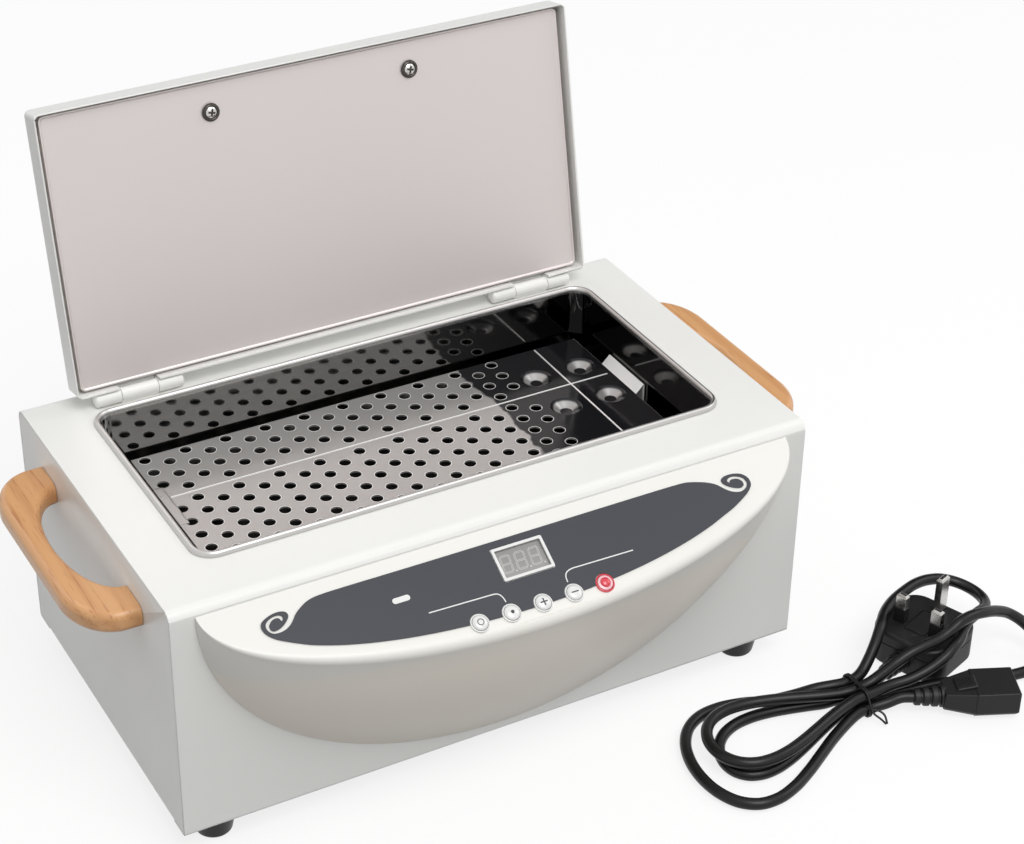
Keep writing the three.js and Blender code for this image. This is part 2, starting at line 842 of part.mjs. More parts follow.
function makeCaseHinge(side) {
  const under = -hingeAxisHeight + seatGap;
  const tongue = box([-hingeMiddle / 2, 0, under], [hingeMiddle / 2, hingeTongue, under + hingeLeaf]);
  const web = box(
    [-hingeMiddle / 2, -hingeRadius / 2, under],
    [hingeMiddle / 2, hingeRadius / 2, -hingeRadius / 2],
  );
  const plate = box(
    [-hingeLength / 2, hingeTongue - hingeLeafReach, under],
    [hingeLength / 2, hingeTongue, under + hingeLeaf],
  );
  return join(knuckle(hingeMiddle), solidOf(tongue), solidOf(web), solidOf(plate))
    .subtract(
      solidOf(cylinder(hingePinRadius + seatGap, -hingeMiddle, hingeMiddle, 12).rotateY(Math.PI / 2)),
    )
    .translate([side * hingeCentreX, hingeAxisY, hingeAxisZ]);
}

function makeHingePin(side) {
  return cylinder(hingePinRadius, -hingeLength / 2, hingeLength / 2, 12)
    .rotateY(Math.PI / 2)
    .translate(side * hingeCentreX, hingeAxisY, hingeAxisZ);
}

// Fascia: every cross-section is the same outline, drawn in towards the two ends as a half-ellipse
function fasciaSection(reach, drop, round, wallY, roundSteps, bowSteps) {
  const slopeY = Math.cos(fasciaSlope);
  const slopeZ = Math.sin(fasciaSlope);
  const edge = [-reach * slopeY, -reach * slopeZ];
  const before = [-(reach - round) * slopeY, -(reach - round) * slopeZ];
  const down = [-edge[0], -drop - edge[1]];
  const length = Math.hypot(...down);
  const after = [edge[0] + (down[0] * round) / length, edge[1] + (down[1] * round) / length];
  const points = [[wallY, 0], before];
  for (let i = 1; i < roundSteps; i += 1) {
    const t = i / roundSteps;
    const [a, b, c] = [(1 - t) ** 2, 2 * t * (1 - t), t ** 2];
    points.push([a * before[0] + b * edge[0] + c * after[0], a * before[1] + b * edge[1] + c * after[1]]);
  }
  for (let i = 0; i < bowSteps; i += 1) {
    const t = i / bowSteps;
    const out = fasciaBelly * Math.sin(Math.PI * t);
    points.push([
      after[0] * (1 - t) - (out * -down[1]) / length,
      after[1] + (-drop - after[1]) * t - (out * down[0]) / length,
    ]);
  }
  points.push([wallY, -drop]);
  return points;
}

function fasciaBody(halfLength, section, topOffset, stations) {
  const count = section.length;
  const points = [];
  const faces = [];
  for (let i = 1; i < stations; i += 1) {
    const angle = (Math.PI * i) / stations;
    const scale = Math.sin(angle);
    for (const [y, z] of section) points.push(-halfLength * Math.cos(angle), y * scale, z * scale);
  }
  const rings = stations - 1;
  const left = rings * count;
  const right = left + 1;
  points.push(-halfLength, 0, 0, halfLength, 0, 0);
  for (let i = 0; i < rings - 1; i += 1) {
    for (let k = 0; k < count; k += 1) {
      const here = i * count + k;
      const next = i * count + ((k + 1) % count);
      faces.push(here, next, here + count, next, next + count, here + count);
    }
  }
  for (let k = 0; k < count; k += 1) {
    const next = (k + 1) % count;
    faces.push(left, next, k);
    faces.push(right, (rings - 1) * count + k, (rings - 1) * count + next);
  }
  const geometry = new THREE.BufferGeometry();
  geometry.setAttribute("position", new THREE.Float32BufferAttribute(points, 3));
  geometry.setIndex(faces);
  return geometry.translate(0, 0, topOffset);
}

// The sloped face's own frame: x along the face, y up the slope, z out of it, origin at its top edge
const faceFrame = new THREE.Matrix4()
  .makeRotationX(fasciaSlope)
  .setPosition(0, frontY - seatGap, fasciaTopZ);

function buttonPlaces() {
  return [-2, -1, 0, 1, 2].map((step) => [buttonMiddleX + step * buttonPitch, -buttonDown]);
}

function boardPosts() {
  const x = boardLength / 2 - 2 * postRadius;
  const y = boardWidth / 2 - 2 * postRadius;
  return [
    [-x, y - boardDown],
    [x, y - boardDown],
    [-x, -y - boardDown + postRadius],
    [x, -y - boardDown + postRadius],
  ];
}

function onFace(geometry, x = 0, y = 0) {
  return solidOf(geometry.translate(x, y, 0).applyMatrix4(faceFrame));
}

function makeFascia() {
  const skin = solidOf(
    fasciaBody(
      fasciaHalfLength,
      fasciaSection(fasciaReach, fasciaDrop, fasciaRound, 0, 5, 5),
      fasciaTopZ,
      24,
    ),
  ).translate([0, frontY - seatGap, 0]);
  const shrink = 2 * fasciaWall;
  const room = solidOf(
    fasciaBody(
      fasciaHalfLength - 2 * shrink,
      fasciaSection(fasciaReach - shrink, fasciaDrop - 2 * shrink, fasciaRound - fasciaWall, overrun, 3, 3),
      fasciaTopZ - fasciaWall / Math.cos(fasciaSlope),
      16,
    ),
  ).translate([0, frontY - seatGap, 0]);
  const collars = buttonPlaces().map(([x, y]) =>
    onFace(cylinder(collarRadius, -fasciaWall / 2, collarHeight, 16), x, y),
  );
  const bores = buttonPlaces().map(([x, y]) =>
    onFace(cylinder(buttonRadius + seatGap, -boardDepth, collarHeight + overrun, 14), x, y),
  );
  const flangeRooms = buttonPlaces().map(([x, y]) =>
    onFace(cylinder(buttonFlangeRadius + seatGap, -boardDepth, -fasciaWall, 14), x, y),
  );
  const windowHole = onFace(
    box(
      [-bezelLength / 2 + bezelFrame / 2, -bezelWidth / 2 + bezelFrame / 2, -boardDepth],
      [bezelLength / 2 - bezelFrame / 2, bezelWidth / 2 - bezelFrame / 2, overrun],
    ),
    bezelCentreX,
    -bezelCentreDown,
  );
  const posts = boardPosts().map(([x, y]) =>
    onFace(cylinder(postRadius, seatGap - boardDepth, -fasciaWall / 2, 8), x, y),
  );
  return cut(join(cut(skin, room), ...collars, ...posts), ...bores, ...flangeRooms, windowHole);
}

function makeBoard() {
  const plate = onFace(
    box(
      [-boardLength / 2, -boardWidth / 2, -boardDepth - boardThickness],
      [boardLength / 2, boardWidth / 2, -boardDepth],
    ),
    0,
    -boardDown,
  );
  const half = switchSide / 2;
  const low = -boardDepth - boardThickness / 2;
  const high = -fasciaWall - buttonFlange - seatGap - buttonTravel - seatGap;
  const switches = buttonPlaces().map(([x, y]) =>
    onFace(box([-half, -half, low], [half, half, high]), x, y),
  );
  return join(plate, ...switches);
}

function makeDisplayModule() {
  const inset = bezelFrame / 2 + seatGap;
  return onFace(
    box(
      [-bezelLength / 2 + inset, -bezelWidth / 2 + inset, seatGap - boardDepth],
      [bezelLength / 2 - inset, bezelWidth / 2 - inset, -seatGap],
    ),
    bezelCentreX,
    -bezelCentreDown,
  );
}

function makeBezel() {
  const outline = roundedRectangle(bezelLength, bezelWidth, bezelFrame / 2, 2);
  const opening = roundedRectangle(
    bezelLength - 2 * bezelFrame,
    bezelWidth - 2 * bezelFrame,
    bezelFrame / 4,
    2,
  ).reverse();
  const low = seatGap;
  return onFace(prism(outline, low, low + bezelThickness, [opening]), bezelCentreX, -bezelCentreDown);
}

// Buttons: a dome on a flange that the fascia holds in
function makeButton() {
  const domeBase = buttonProud;
  const underFace = -fasciaWall - seatGap;
  const dome = arcPoints(0, domeBase, buttonRadius, buttonDome, 0, Math.PI / 2, 3);
  return lathe(
    [
      [0, underFace - buttonFlange],
      [buttonFlangeRadius, underFace - buttonFlange],
      [buttonFlangeRadius, underFace],
      [buttonRadius, underFace],
      ...dome.slice(0, -1),
      [0, domeBase + buttonDome],
    ],
    14,
  );
}

// Label: a film with a bowed lower edge, whose ends narrow to a tongue and curl up into a scroll
function labelOutline() {
  const ends = [
    [labelLeftX, Math.PI + Math.acos((labelCentreX - labelLeftX) / labelHalfLength)],
    [labelRightX, turn - Math.acos((labelRightX - labelCentreX) / labelHalfLength)],
  ];
  const [from, to] = [ends[0][1], ends[1][1]];
  const lower = arcPoints(labelCentreX, -labelArcDown, labelHalfLength, labelArcRise, from, to, 20);
  const upper = [];
  for (const [endX, way] of [
    [labelRightX, 1],
    [labelLeftX, -1],
  ]) {
    const half = [];
    for (let i = 0; i <= 5; i += 1) {
      const t = i / 5;
      const ease = t * t * (3 - 2 * t);
      half.push([
        endX - way * labelShoulder * (1 - t),
        -labelTopDown - (labelTongueDown - labelTopDown) * ease,
      ]);
    }
    upper.push(...(way > 0 ? half.reverse() : half));
  }
  return [...lower, ...upper];
}

function makeLabel() {
  const low = seatGap;
  const film = onFace(prism(labelOutline(), low, low + labelThickness));
  const curls = [
    [labelLeftX, 1],
    [labelRightX, -1],
  ].map(([x, side]) => onFace(scrollBand(side, low), x, scrollRadius - scrollBandWidth - labelTongueDown));
  const rooms = buttonPlaces().map(([x, y]) =>
    onFace(cylinder(collarRadius + seatGap, -overrun, overrun, 16), x, y),
  );
  const windowRoom = onFace(
    box(
      [-bezelLength / 2 - seatGap, -bezelWidth / 2 - seatGap, -overrun],
      [bezelLength / 2 + seatGap, bezelWidth / 2 + seatGap, overrun],
    ),
    bezelCentreX,
    -bezelCentreDown,
  );
  return cut(join(film, ...curls), ...rooms, windowRoom);
}

// One scroll: a band that leaves the tongue and winds inwards, narrowing as it goes
function scrollBand(side, low) {
  const outer = [];
  const inner = [];
  const steps = 18;
  for (let i = 0; i <= steps; i += 1) {
    const t = i / steps;
    const angle = Math.PI * 1.5 - side * turn * scrollTurns * t;
    const radius = scrollRadius + (scrollCore - scrollRadius) * t;
    const band = scrollBandWidth * (1 - t / 3);
    outer.push([radius * Math.cos(angle), radius * Math.sin(angle)]);
    inner.push([(radius - band) * Math.cos(angle), (radius - band) * Math.sin(angle)]);
  }
  const outline = [...outer, ...inner.reverse()];
  return prism(side > 0 ? outline.reverse() : outline, low, low + labelThickness);
}

// Handles: flat wooden bows on the side panels, each held by two bolts from inside
function handlePlaces() {
  const footMiddle = (handleHalfLength + handleGripHalf) / 2;
  return [handleCentreY - footMiddle, handleCentreY + footMiddle];
}

function handleZ() {
  return topZ - handleTopBelow - handleThickness / 2;
}

function handleBoltHoles() {
  return [-1, 1].flatMap((side) =>
    handlePlaces().map((y) =>
      cylinder(handleBoltRadius + seatGap, -sideFlange, sideFlange / 2, 12)
        .rotateY((side * Math.PI) / 2)
        .translate(side * sideX, y, handleZ()),
    ),
  );
}

function makeHandle(side) {
  const inset = handleRound;
  const quarter = Math.PI / 2;
  const outerReach = handleReach - inset;
  const half = handleHalfLength - inset;
  const cornerX = outerReach - handleCornerReach;
  const cornerY = half - handleCornerRun;
  const wall = -overrun - 2 * inset;
  const outline = [
    [wall, -half],
    ...arcPoints(cornerX, -cornerY, handleCornerReach, handleCornerRun, -quarter, 0, 7),
    ...arcPoints(cornerX, cornerY, handleCornerReach, handleCornerRun, 0, quarter, 7),
    [wall, half],
    [wall, handleGripHalf + inset],
    ...arcPoints(0, 0, handleGripReach + inset, handleGripHalf + inset, quarter, -quarter, 10),
    [wall, -handleGripHalf - inset],
  ];
  const bow = new THREE.ExtrudeGeometry(shapeOf(outline), {
    depth: handleThickness - 2 * inset,
    bevelEnabled: true,
    bevelThickness: inset,
    bevelSize: inset,
    bevelSegments: 2,
  }).translate(0, 0, inset - handleThickness / 2);
  const wallSide = box(
    [-caseWidth, -caseWidth, -caseWidth],
    [seatGap, caseWidth, caseWidth],
  );
  const bores = handlePlaces().map((y) =>
    cylinder(handleBoltRadius + seatGap, -overrun, handleBoltLength, 12)
      .rotateY(quarter)
      .translate(0, y - handleCentreY, 0),
  );
  const made = cut(solidOf(bow), solidOf(wallSide), ...bores.map(solidOf));
  const turned = side > 0 ? made : made.mirror([1, 0, 0]);
  return turned.translate([side * sideX, handleCentreY, handleZ()]);
}

function makeHandleBolt(side, y) {
  const headAt = -caseSheet - sideFlange / 2;
  return lathe(
    [
      [0, headAt - handleBoltHead / 2],
      [handleBoltHead, headAt - handleBoltHead / 2],
      [handleBoltHead, -caseSheet - seatGap],
      [handleBoltRadius, -caseSheet - seatGap],
      [handleBoltRadius, handleBoltLength - seatGap],
      [0, handleBoltLength - seatGap],
    ],
    10,
  )
    .rotateY((side * Math.PI) / 2)
    .translate(side * sideX, y, handleZ());
}

// Heater: one long tube bent to and fro under the tank, held by two straps
class HeaterPath extends THREE.Curve {
  constructor() {
    super();
    this.points = [];
    const bend = heaterPitch / 2;
    for (let run = 0; run < heaterRuns; run += 1) {
      const y = (run - (heaterRuns - 1) / 2) * heaterPitch;
      const way = run % 2 === 0 ? 1 : -1;
      const ends = [-way, way].map((side) => new THREE.Vector3(side * heaterRunHalf, y, 0));
      this.points.push(...ends);
      if (run === heaterRuns - 1) break;
      for (const [x, angle] of [
        [way, -Math.PI / 4],
        [way, 0],
        [way, Math.PI / 4],
      ]) {
        this.points.push(
          new THREE.Vector3(
            x * (heaterRunHalf + bend * Math.cos(angle)),
            y + bend + bend * Math.sin(angle),
            0,
          ),
        );
      }
    }
    this.lengths = [0];
    for (let i = 1; i < this.points.length; i += 1) {
      this.lengths.push(this.lengths[i - 1] + this.points[i].distanceTo(this.points[i - 1]));
    }
  }

  getPoint(t, target = new THREE.Vector3()) {
    const place = t * (this.points.length - 1);
    const index = Math.min(Math.floor(place), this.points.length - 2);
    return target.lerpVectors(this.points[index], this.points[index + 1], place - index);
  }

  getPointAt(t, target) {
    return this.getPoint(t, target);
  }
}

function makeHeater() {
  const path = new HeaterPath();
  const section = shapeOf(arcPoints(0, 0, heaterRadius, heaterRadius, 0, turn, 8).slice(1));
  const tube = new THREE.ExtrudeGeometry(section, {
    steps: path.points.length - 1,
    bevelEnabled: false,
    extrudePath: path,
  });
  return tube.translate(0, tankCentreY, tankFloorZ - tankSheet - seatGap - heaterRadius);
}

function makeHeaterStrap() {
  const high = tankFloorZ - tankSheet - 2 * seatGap - 2 * heaterRadius;
  const half = ((heaterRuns - 1) * heaterPitch) / 2 + heaterPitch / 2;
  return box(
    [-heaterClampWidth / 2, tankCentreY - half, high - heaterClampSheet],
    [heaterClampWidth / 2, tankCentreY + half, high],
  );
}

function makeBlanket() {
  const inner = tankSheet + seatGap;
  const low = tankFloorZ - tankSheet - 3 * seatGap - 2 * heaterRadius - heaterClampSheet;
  const high = topZ - blanketLip;
  const outer = solidOf(prism(tankOutline(inner + blanketThickness), low - blanketThickness, high));
  const room = solidOf(prism(tankOutline(inner), low, high + overrun));
  return cut(outer, room).translate([0, tankCentreY, 0]);
}

function makeProbe() {
  const z = tankFloorZ - tankSheet - seatGap - probeRadius;
  const y = tankCentreY + ((heaterRuns - 1) * heaterPitch) / 2 + heaterPitch / 2;
  return cylinder(probeRadius, -probeLength / 2, probeLength / 2, 10)
    .rotateY(Math.PI / 2)
    .translate(0, y, z);
}

// Mains inlet and rocker switch on the back panel
function chamferedRectangle(width, height, chamfer) {
  const x = width / 2;
  const z = height / 2;
  return [
    [-x, -z],
    [x, -z],
    [x, z - chamfer],
    [x - chamfer, z],
    [chamfer - x, z],
    [-x, z - chamfer],
  ];
}

// Turns a body drawn out of the page so that it points out of the back panel
const backFrame = new THREE.Matrix4()
  .makeBasis(new THREE.Vector3(-1, 0, 0), new THREE.Vector3(0, 0, 1), new THREE.Vector3(0, 1, 0))
  .setPosition(0, backY, 0);

function onBack(geometry, x, z) {
  return solidOf(geometry.translate(-x, z, 0).applyMatrix4(backFrame));
}

function makeInlet() {
  const flange = onBack(
    prism(
      roundedRectangle(inletFlangeWidth, inletFlangeHeight, inletFlange, 3),
      seatGap,
      inletFlange + seatGap,
    ),
    inletCentreX,
    inletZ(),
  );
  const body = onBack(
    box([-inletBodyWidth / 2, -inletBodyHeight / 2, -inletBodyDepth], [
      inletBodyWidth / 2,
      inletBodyHeight / 2,
      2 * seatGap,
    ]),
    inletCentreX,
    inletZ(),
  );
  const socket = onBack(
    prism(
      chamferedRectangle(inletSocketWidth, inletSocketHeight, inletChamfer),
      inletFlange - inletSocketDepth,
      inletFlange + overrun,
    ),
    inletCentreX,
    inletZ(),
  );
  const pins = [
    [-inletPinSpread, -inletPinOffset],
    [0, inletPinOffset],
    [inletPinSpread, -inletPinOffset],
  ].map(([x, z]) =>
    onBack(
      box(
        [x - inletPinWidth / 2, z - inletPinHeight / 2, inletFlange - inletSocketDepth - overrun],
        [x + inletPinWidth / 2, z + inletPinHeight / 2, inletFlange - inletSocketDepth + inletPinLength],
      ),
      inletCentreX,
      inletZ(),
    ),
  );
  return join(cut(join(flange, body), socket), ...pins);
}

function makeRockerHousing() {
  const flange = onBack(
    prism(
      roundedRectangle(rockerFrameWidth, rockerFrameHeight, rockerFrame / 2, 3),
      seatGap,
      rockerFrame + seatGap,
    ),
    rockerCentreX,
    inletZ(),
  );
  const halfWidth = rockerFrameWidth / 2 - rockerFrame / 2;
  const halfHeight = rockerFrameHeight / 2 - rockerFrame / 2;
  const body = onBack(
    box([-halfWidth, -halfHeight, -rockerBodyDepth], [halfWidth, halfHeight, 2 * seatGap]),
    rockerCentreX,
    inletZ(),
  );
  const well = onBack(
    box(
      [
        -rockerWidth / 2 - seatGap,
        -rockerHeight / 2 - 2 * seatGap,
        rockerFrame - rockerThickness - rockerProud,
      ],
      [rockerWidth / 2 + seatGap, rockerHeight / 2 + 2 * seatGap, rockerFrame + overrun],
    ),
    rockerCentreX,
    inletZ(),
  );
  return cut(join(flange, body), well);
}

function makeRocker() {
  const half = rockerHeight / 2;
  const waist = rockerProud / 2;
  const outline = [
    [waist, 0],
    [waist + half * Math.tan(rockerTilt), half],
    [-rockerProud, half],
    [-rockerThickness, half / 2],
    [-rockerThickness, -half / 2],
    [-rockerProud, -half],
    [waist + half * Math.tan(rockerTilt), -half],
  ];
  return prismAlongX(outline, -rockerWidth / 2, rockerWidth / 2);
}

// Mains lead: one cord in a hank, its left-hand loops on the bench and its right-hand loops over the plug
const restZ = strandRest + tieRise;
const upperZ = restZ + strandPitch * Math.sin(Math.PI / 3);

// Where each strand passes through the tie, from the front one to the back one
const strands = {
  connectorLead: [-1.5 * strandPitch, restZ],
  overFront: [-strandPitch, upperZ],
  underMiddle: [-strandPitch / 2, restZ],
  overMiddle: [0, upperZ],
  plugLead: [strandPitch / 2, restZ],
  overBack: [strandPitch, upperZ],
};

function throughTie(name, way) {
  const [offset, height] = strands[name];
  return [way, -way].map(
    (side) => new THREE.Vector3(waist[0] + side * waistHalf, waist[1] + offset, height),
  );
}

const outerLobe = { reach: outerLobeReach, halfWidth: outerLobeHalfWidth, lean: outerLobeLean };
const upperLobe = { reach: upperLobeReach, halfWidth: upperLobeHalfWidth, lean: upperLobeLean };
const innerLobe = { reach: innerLobeReach, halfWidth: innerLobeHalfWidth, lean: innerLobeLean };

// One left-hand loop, drawn in at the waist: out along the front strand and home along the back one
function lobe(front, back, { reach, halfWidth, lean }, level) {
  const points = [];
  for (let i = 1; i < lobeSteps; i += 1) {
    const turnShare = i / lobeSteps;
    const out = Math.sin(Math.PI * turnShare) ** 2;
    const spreadShare = 1.54 * Math.sin(turn * turnShare) * out;
    const [offset, height] = turnShare < 1 / 2 ? strands[front] : strands[back];
    const fall = Math.abs(height - level);
    const settle = THREE.MathUtils.smoothstep(out * reach, fall, fall * lobeSettleShare + cordDiameter);
    points.push(
      new THREE.Vector3(
        waist[0] - waistHalf - reach * out,
        waist[1] + offset * (1 - out) - halfWidth * spreadShare + lean * out ** 2,
        height + (level - height) * settle,
      ),
    );
  }
  return points;
}

const lobeSettleShare = 4.3;
const overLevel = strandRest + strandPitch + seatGap;

// The right-hand runs, chosen by hand: they lie over and beside the plug
const connectorRun = [
  [198, -172.5, 6.3],
];
const plugOverRun = [
  [196.5, -151, 12.5],
  [203.5, -147.5, 16.6],
  [211.5, -142.3, 22],
  [219, -136, 25.8],
  [228, -127.4, 26.1],
  [239, -120.2, 25.9],
  [251, -115.3, 25.8],
  [260, -112.9, 25.8],
  [268.5, -112.2, 25.2],
  [277.7, -113.7, 23.8],
  [285.9, -119.3, 21.8],
  [290.2, -128.1, 20.6],
  [289.3, -138, 20.9],
  [283.2, -145.6, 22.8],
  [274.6, -150.2, 25.3],
  [265, -154.4, 25.9],
  [257.3, -159.4, 25.8],
  [251.5, -164.3, 25.2],
  [245.2, -167.8, 24.4],
  [237, -170.1, 21.4],
  [227.5, -170, 17],
  [216, -168.9, 13.6],
  [204, -167, 12.2],
];
const plugFrontRun = [
  [197, -160.1, 12.9],
  [205, -160.6, 17.2],
  [213, -161.2, 21.8],
  [221, -161.6, 25],
  [230, -161.8, 26.6],
  [239.3, -161.7, 27.7],
  [247.5, -160.9, 30.2],
  [255.3, -159.8, 32.9],
  [264, -158.6, 33],
  [273.3, -157.4, 30.9],
  [283.4, -155.4, 26.8],
  [293, -154.8, 21.6],
  [299.5, -158.7, 16.8],
  [302.8, -165.7, 12.4],
  [302.1, -173.4, 8.3],
  [297.6, -179.8, 5.2],
  [290.6, -183.1, 3.7],
  [279, -182.8, 3.5],
  [267, -179.6, 3.5],
  [254, -175.2, 3.5],
  [241, -171.2, 3.5],
  [229, -168.2, 3.5],
  [217, -165.9, 3.5],
  [204, -164.3, 4.3],
];
const plugRun = [
  [197.3, -156.9, 6.4],
];

function along(origin, angle, distance) {
  return [origin[0] + Math.cos(angle) * distance, origin[1] + Math.sin(angle) * distance];
}

const connectorZ = connectorThick / 2 + seatGap;
const connectorTail = along(connectorNeck, connectorTurn, -reliefLength);
const plugTail = along(plugMiddle, plugTurn, -plugCordEnd - reliefLength);

function leadCurve() {
  const at = (points) => points.map(([x, y, z]) => new THREE.Vector3(x, y, z));
  const start = along(connectorTail, connectorTurn, -seatGap);
  const end = along(plugTail, plugTurn, -seatGap);
  const route = [
    new THREE.Vector3(...start, connectorZ),
    new THREE.Vector3(...along(start, connectorTurn, -cordDiameter), connectorZ),
    ...at(connectorRun),
    ...throughTie("connectorLead", 1),
    ...lobe("connectorLead", "overBack", outerLobe, strandRest),
    ...throughTie("overBack", -1),
    ...at(plugOverRun),
    ...throughTie("overFront", 1),
    ...lobe("overFront", "overMiddle", upperLobe, overLevel),
    ...throughTie("overMiddle", -1),
    ...at(plugFrontRun),
    ...throughTie("underMiddle", 1),
    ...lobe("underMiddle", "plugLead", innerLobe, strandRest),
    ...throughTie("plugLead", -1),
    ...at(plugRun),
    new THREE.Vector3(...along(end, plugTurn, -cordDiameter), plugCordHeight),
    new THREE.Vector3(...end, plugCordHeight),
  ];
  const curve = new THREE.CatmullRomCurve3(route, false, "centripetal");
  curve.arcLengthDivisions = 4000;
  return curve;
}

// The least gap between stretches of the cord that lie apart along it
function leastGap(curve) {
  const length = curve.getLength();
  const count = Math.round((length * gapSampleCount) / cordDiameter);
  const points = curve.getSpacedPoints(count);
  const skip = gapSampleCount * gapSkipCount;
  let least = Infinity;
  for (let i = 0; i < points.length; i += 1) {
    for (let j = i + skip; j < points.length; j += 1) {
      least = Math.min(least, points[i].distanceTo(points[j]));
    }
  }
  return least - cordDiameter;
}

function makeCord(curve) {
  const section = shapeOf(arcPoints(0, 0, cordDiameter / 2, cordDiameter / 2, 0, turn, cordSides).slice(1));
  return new THREE.ExtrudeGeometry(section, {
    steps: Math.round(curve.getLength() / (cordStepShare * cordDiameter)),
    bevelEnabled: false,
    extrudePath: curve,
  });
}

// The ribbed strain relief, drawn along +X from its tail to the body that it grows out of
function makeRelief(neck) {
  const profile = [[0, 0]];
  const ringCount = reliefRibs * 2;
  for (let i = 0; i <= ringCount; i += 1) {
    const share = i / ringCount;
    const radius = reliefTailRadius + (reliefNeckRadius - reliefTailRadius) * share;
    profile.push([radius - (i % 2 ? reliefRibDepth : 0), share * reliefLength]);
  }
  profile.push([reliefNeckRadius, reliefLength + neck], [0, reliefLength + neck]);
  return lathe(profile, 8).rotateY(Math.PI / 2).translate(-reliefLength, 0, 0);
}

function makeConnector() {
  const outline = chamferedRectangle(connectorWidth, connectorThick, connectorChamfer);
  const body = solidOf(prismAlongX(outline, 0, connectorLength));
  const slotHalfWidth = inletPinWidth / 2 + seatGap;
  const slotHalfHeight = inletPinHeight / 2 + seatGap;
  const slots = [
    [-inletPinSpread, -inletPinOffset],
    [0, inletPinOffset],
    [inletPinSpread, -inletPinOffset],
  ].map(([y, z]) =>
    solidOf(
      box(
        [connectorLength - connectorSlotDepth, y - slotHalfWidth, z - slotHalfHeight],
        [connectorLength + overrun, y + slotHalfWidth, z + slotHalfHeight],
      ),
    ),
  );
  return cut(join(body, solidOf(makeRelief(overrun))), ...slots)
    .rotate([0, 0, connectorTurn / degree])
    .translate([...connectorNeck, connectorZ]);
}

function pinOutlines() {
  const flat = (x, y, alongPlug, acrossPlug) => [
    [x - alongPlug / 2, y - acrossPlug / 2],
    [x + alongPlug / 2, y + acrossPlug / 2],
  ];
  return {
    line: [flat(0, pinSpread, pinThick, pinWidth), pinLength],
    neutral: [flat(0, -pinSpread, pinThick, pinWidth), pinLength],
    earth: [flat(pinEarthOffset, 0, earthWidth, pinThick), earthLength],
  };
}

function onPlug(solid) {
  return solid.rotate([0, 0, plugTurn / degree]).translate([...plugMiddle, 0]);
}

function makePlugBody() {
  const length = plugEarthEnd + plugCordEnd;
  const middle = (plugEarthEnd - plugCordEnd) / 2;
  const outline = roundedRectangle(
    length - 2 * plugEdge,
    2 * (plugHalfWidth - plugEdge),
    plugCorner - plugEdge,
    5,
  );
  const body = new THREE.ExtrudeGeometry(shapeOf(outline), {
    depth: plugHeight - seatGap - 2 * plugEdge,
    bevelEnabled: true,
    bevelThickness: plugEdge,
    bevelSize: plugEdge,
    bevelSegments: 1,
  }).translate(middle, 0, plugEdge + seatGap);
  const relief = makeRelief(plugCorner / 2).translate(-plugCordEnd, 0, plugCordHeight);
  const sockets = Object.values(pinOutlines()).map(([[low, high]]) =>
    solidOf(
      box(
        [low[0] - seatGap, low[1] - seatGap, plugHeight - pinSink - seatGap],
        [high[0] + seatGap, high[1] + seatGap, plugHeight + overrun],
      ),
    ),
  );
  return onPlug(cut(join(solidOf(body), solidOf(relief)), ...sockets));
}

function makePin([[low, high], length]) {
  const width = high[0] - low[0];
  const depth = high[1] - low[1];
  const outline = roundedRectangle(width - 2 * pinTip, depth - 2 * pinTip, pinTip / 2, 1);
  const tip = new THREE.ExtrudeGeometry(shapeOf(outline), {
    depth: pinSink + length - 2 * pinTip,
    bevelEnabled: true,
    bevelThickness: pinTip,
    bevelSize: pinTip,
    bevelSegments: 1,
  }).translate((low[0] + high[0]) / 2, (low[1] + high[1]) / 2, plugHeight - pinSink + pinTip);
  return onPlug(solidOf(tip));
}

// The outline of a band drawn tight round circles; their centres run anticlockwise
function bandOutline(centres, radius) {
  const points = [];
  centres.forEach((centre, i) => {
    const before = centres[(i + centres.length - 1) % centres.length];
    const after = centres[(i + 1) % centres.length];
    const from = Math.atan2(centre[1] - before[1], centre[0] - before[0]) - Math.PI / 2;
    let to = Math.atan2(after[1] - centre[1], after[0] - centre[0]) - Math.PI / 2;
    if (to < from) to += turn;
    points.push(...arcPoints(centre[0], centre[1], radius, radius, from, to, 3));
  });
  return points;
}

function makeTie() {
  const centres = [strands.connectorLead, strands.plugLead, strands.overBack, strands.overFront];
  const inner = cordDiameter / 2 + tieRoom;
  return prismAlongX(bandOutline(centres, inner + tieThickness), -tieWidth / 2, tieWidth / 2, [
    bandOutline(centres, inner).reverse(),
  ]).translate(waist[0], waist[1], 0);
}

// Lid assembly
const lid = new THREE.Group();
lid.position.set(0, hingeAxisY, hingeAxisZ);
lid.rotation.x = -lidOpenAngle;

const casingPieces = [
  ["outer_casing", makeOuterCasing()],
  ["side_panel_left", makeSidePanel(-1)],
  ["side_panel_right", makeSidePanel(1)],
  ["base_pan", makeBasePan()],
];
for (const [name, solid] of casingPieces) place(appliance, name, geometryOf(solid), whitePaint());

footPlaces().forEach(([x, y], i) => {
  const corner = ["front_left", "front_right", "back_right", "back_left"][i];
  place(appliance, `foot_${corner}`, makeFoot().translate(x, y, 0), blackRubber());
  place(appliance, `foot_screw_${corner}`, makeFootScrew().translate(x, y, 0), plainSteel());
});

place(appliance, "tank", geometryOf(makeTank()), polishedSteel());
place(appliance, "tray", geometryOf(makeTray()), polishedSteel());
place(appliance, "heater_element", makeHeater(), plainSteel());
[-1, 1].forEach((side) => {
  const name = side < 0 ? "left" : "right";
  const strap = makeHeaterStrap().translate((side * heaterRunHalf) / 2, 0, 0);
  place(appliance, `heater_strap_${name}`, strap, plainSteel());
});
place(appliance, "tank_blanket", geometryOf(makeBlanket()), glassWool());
place(appliance, "temperature_probe", makeProbe(), brass());

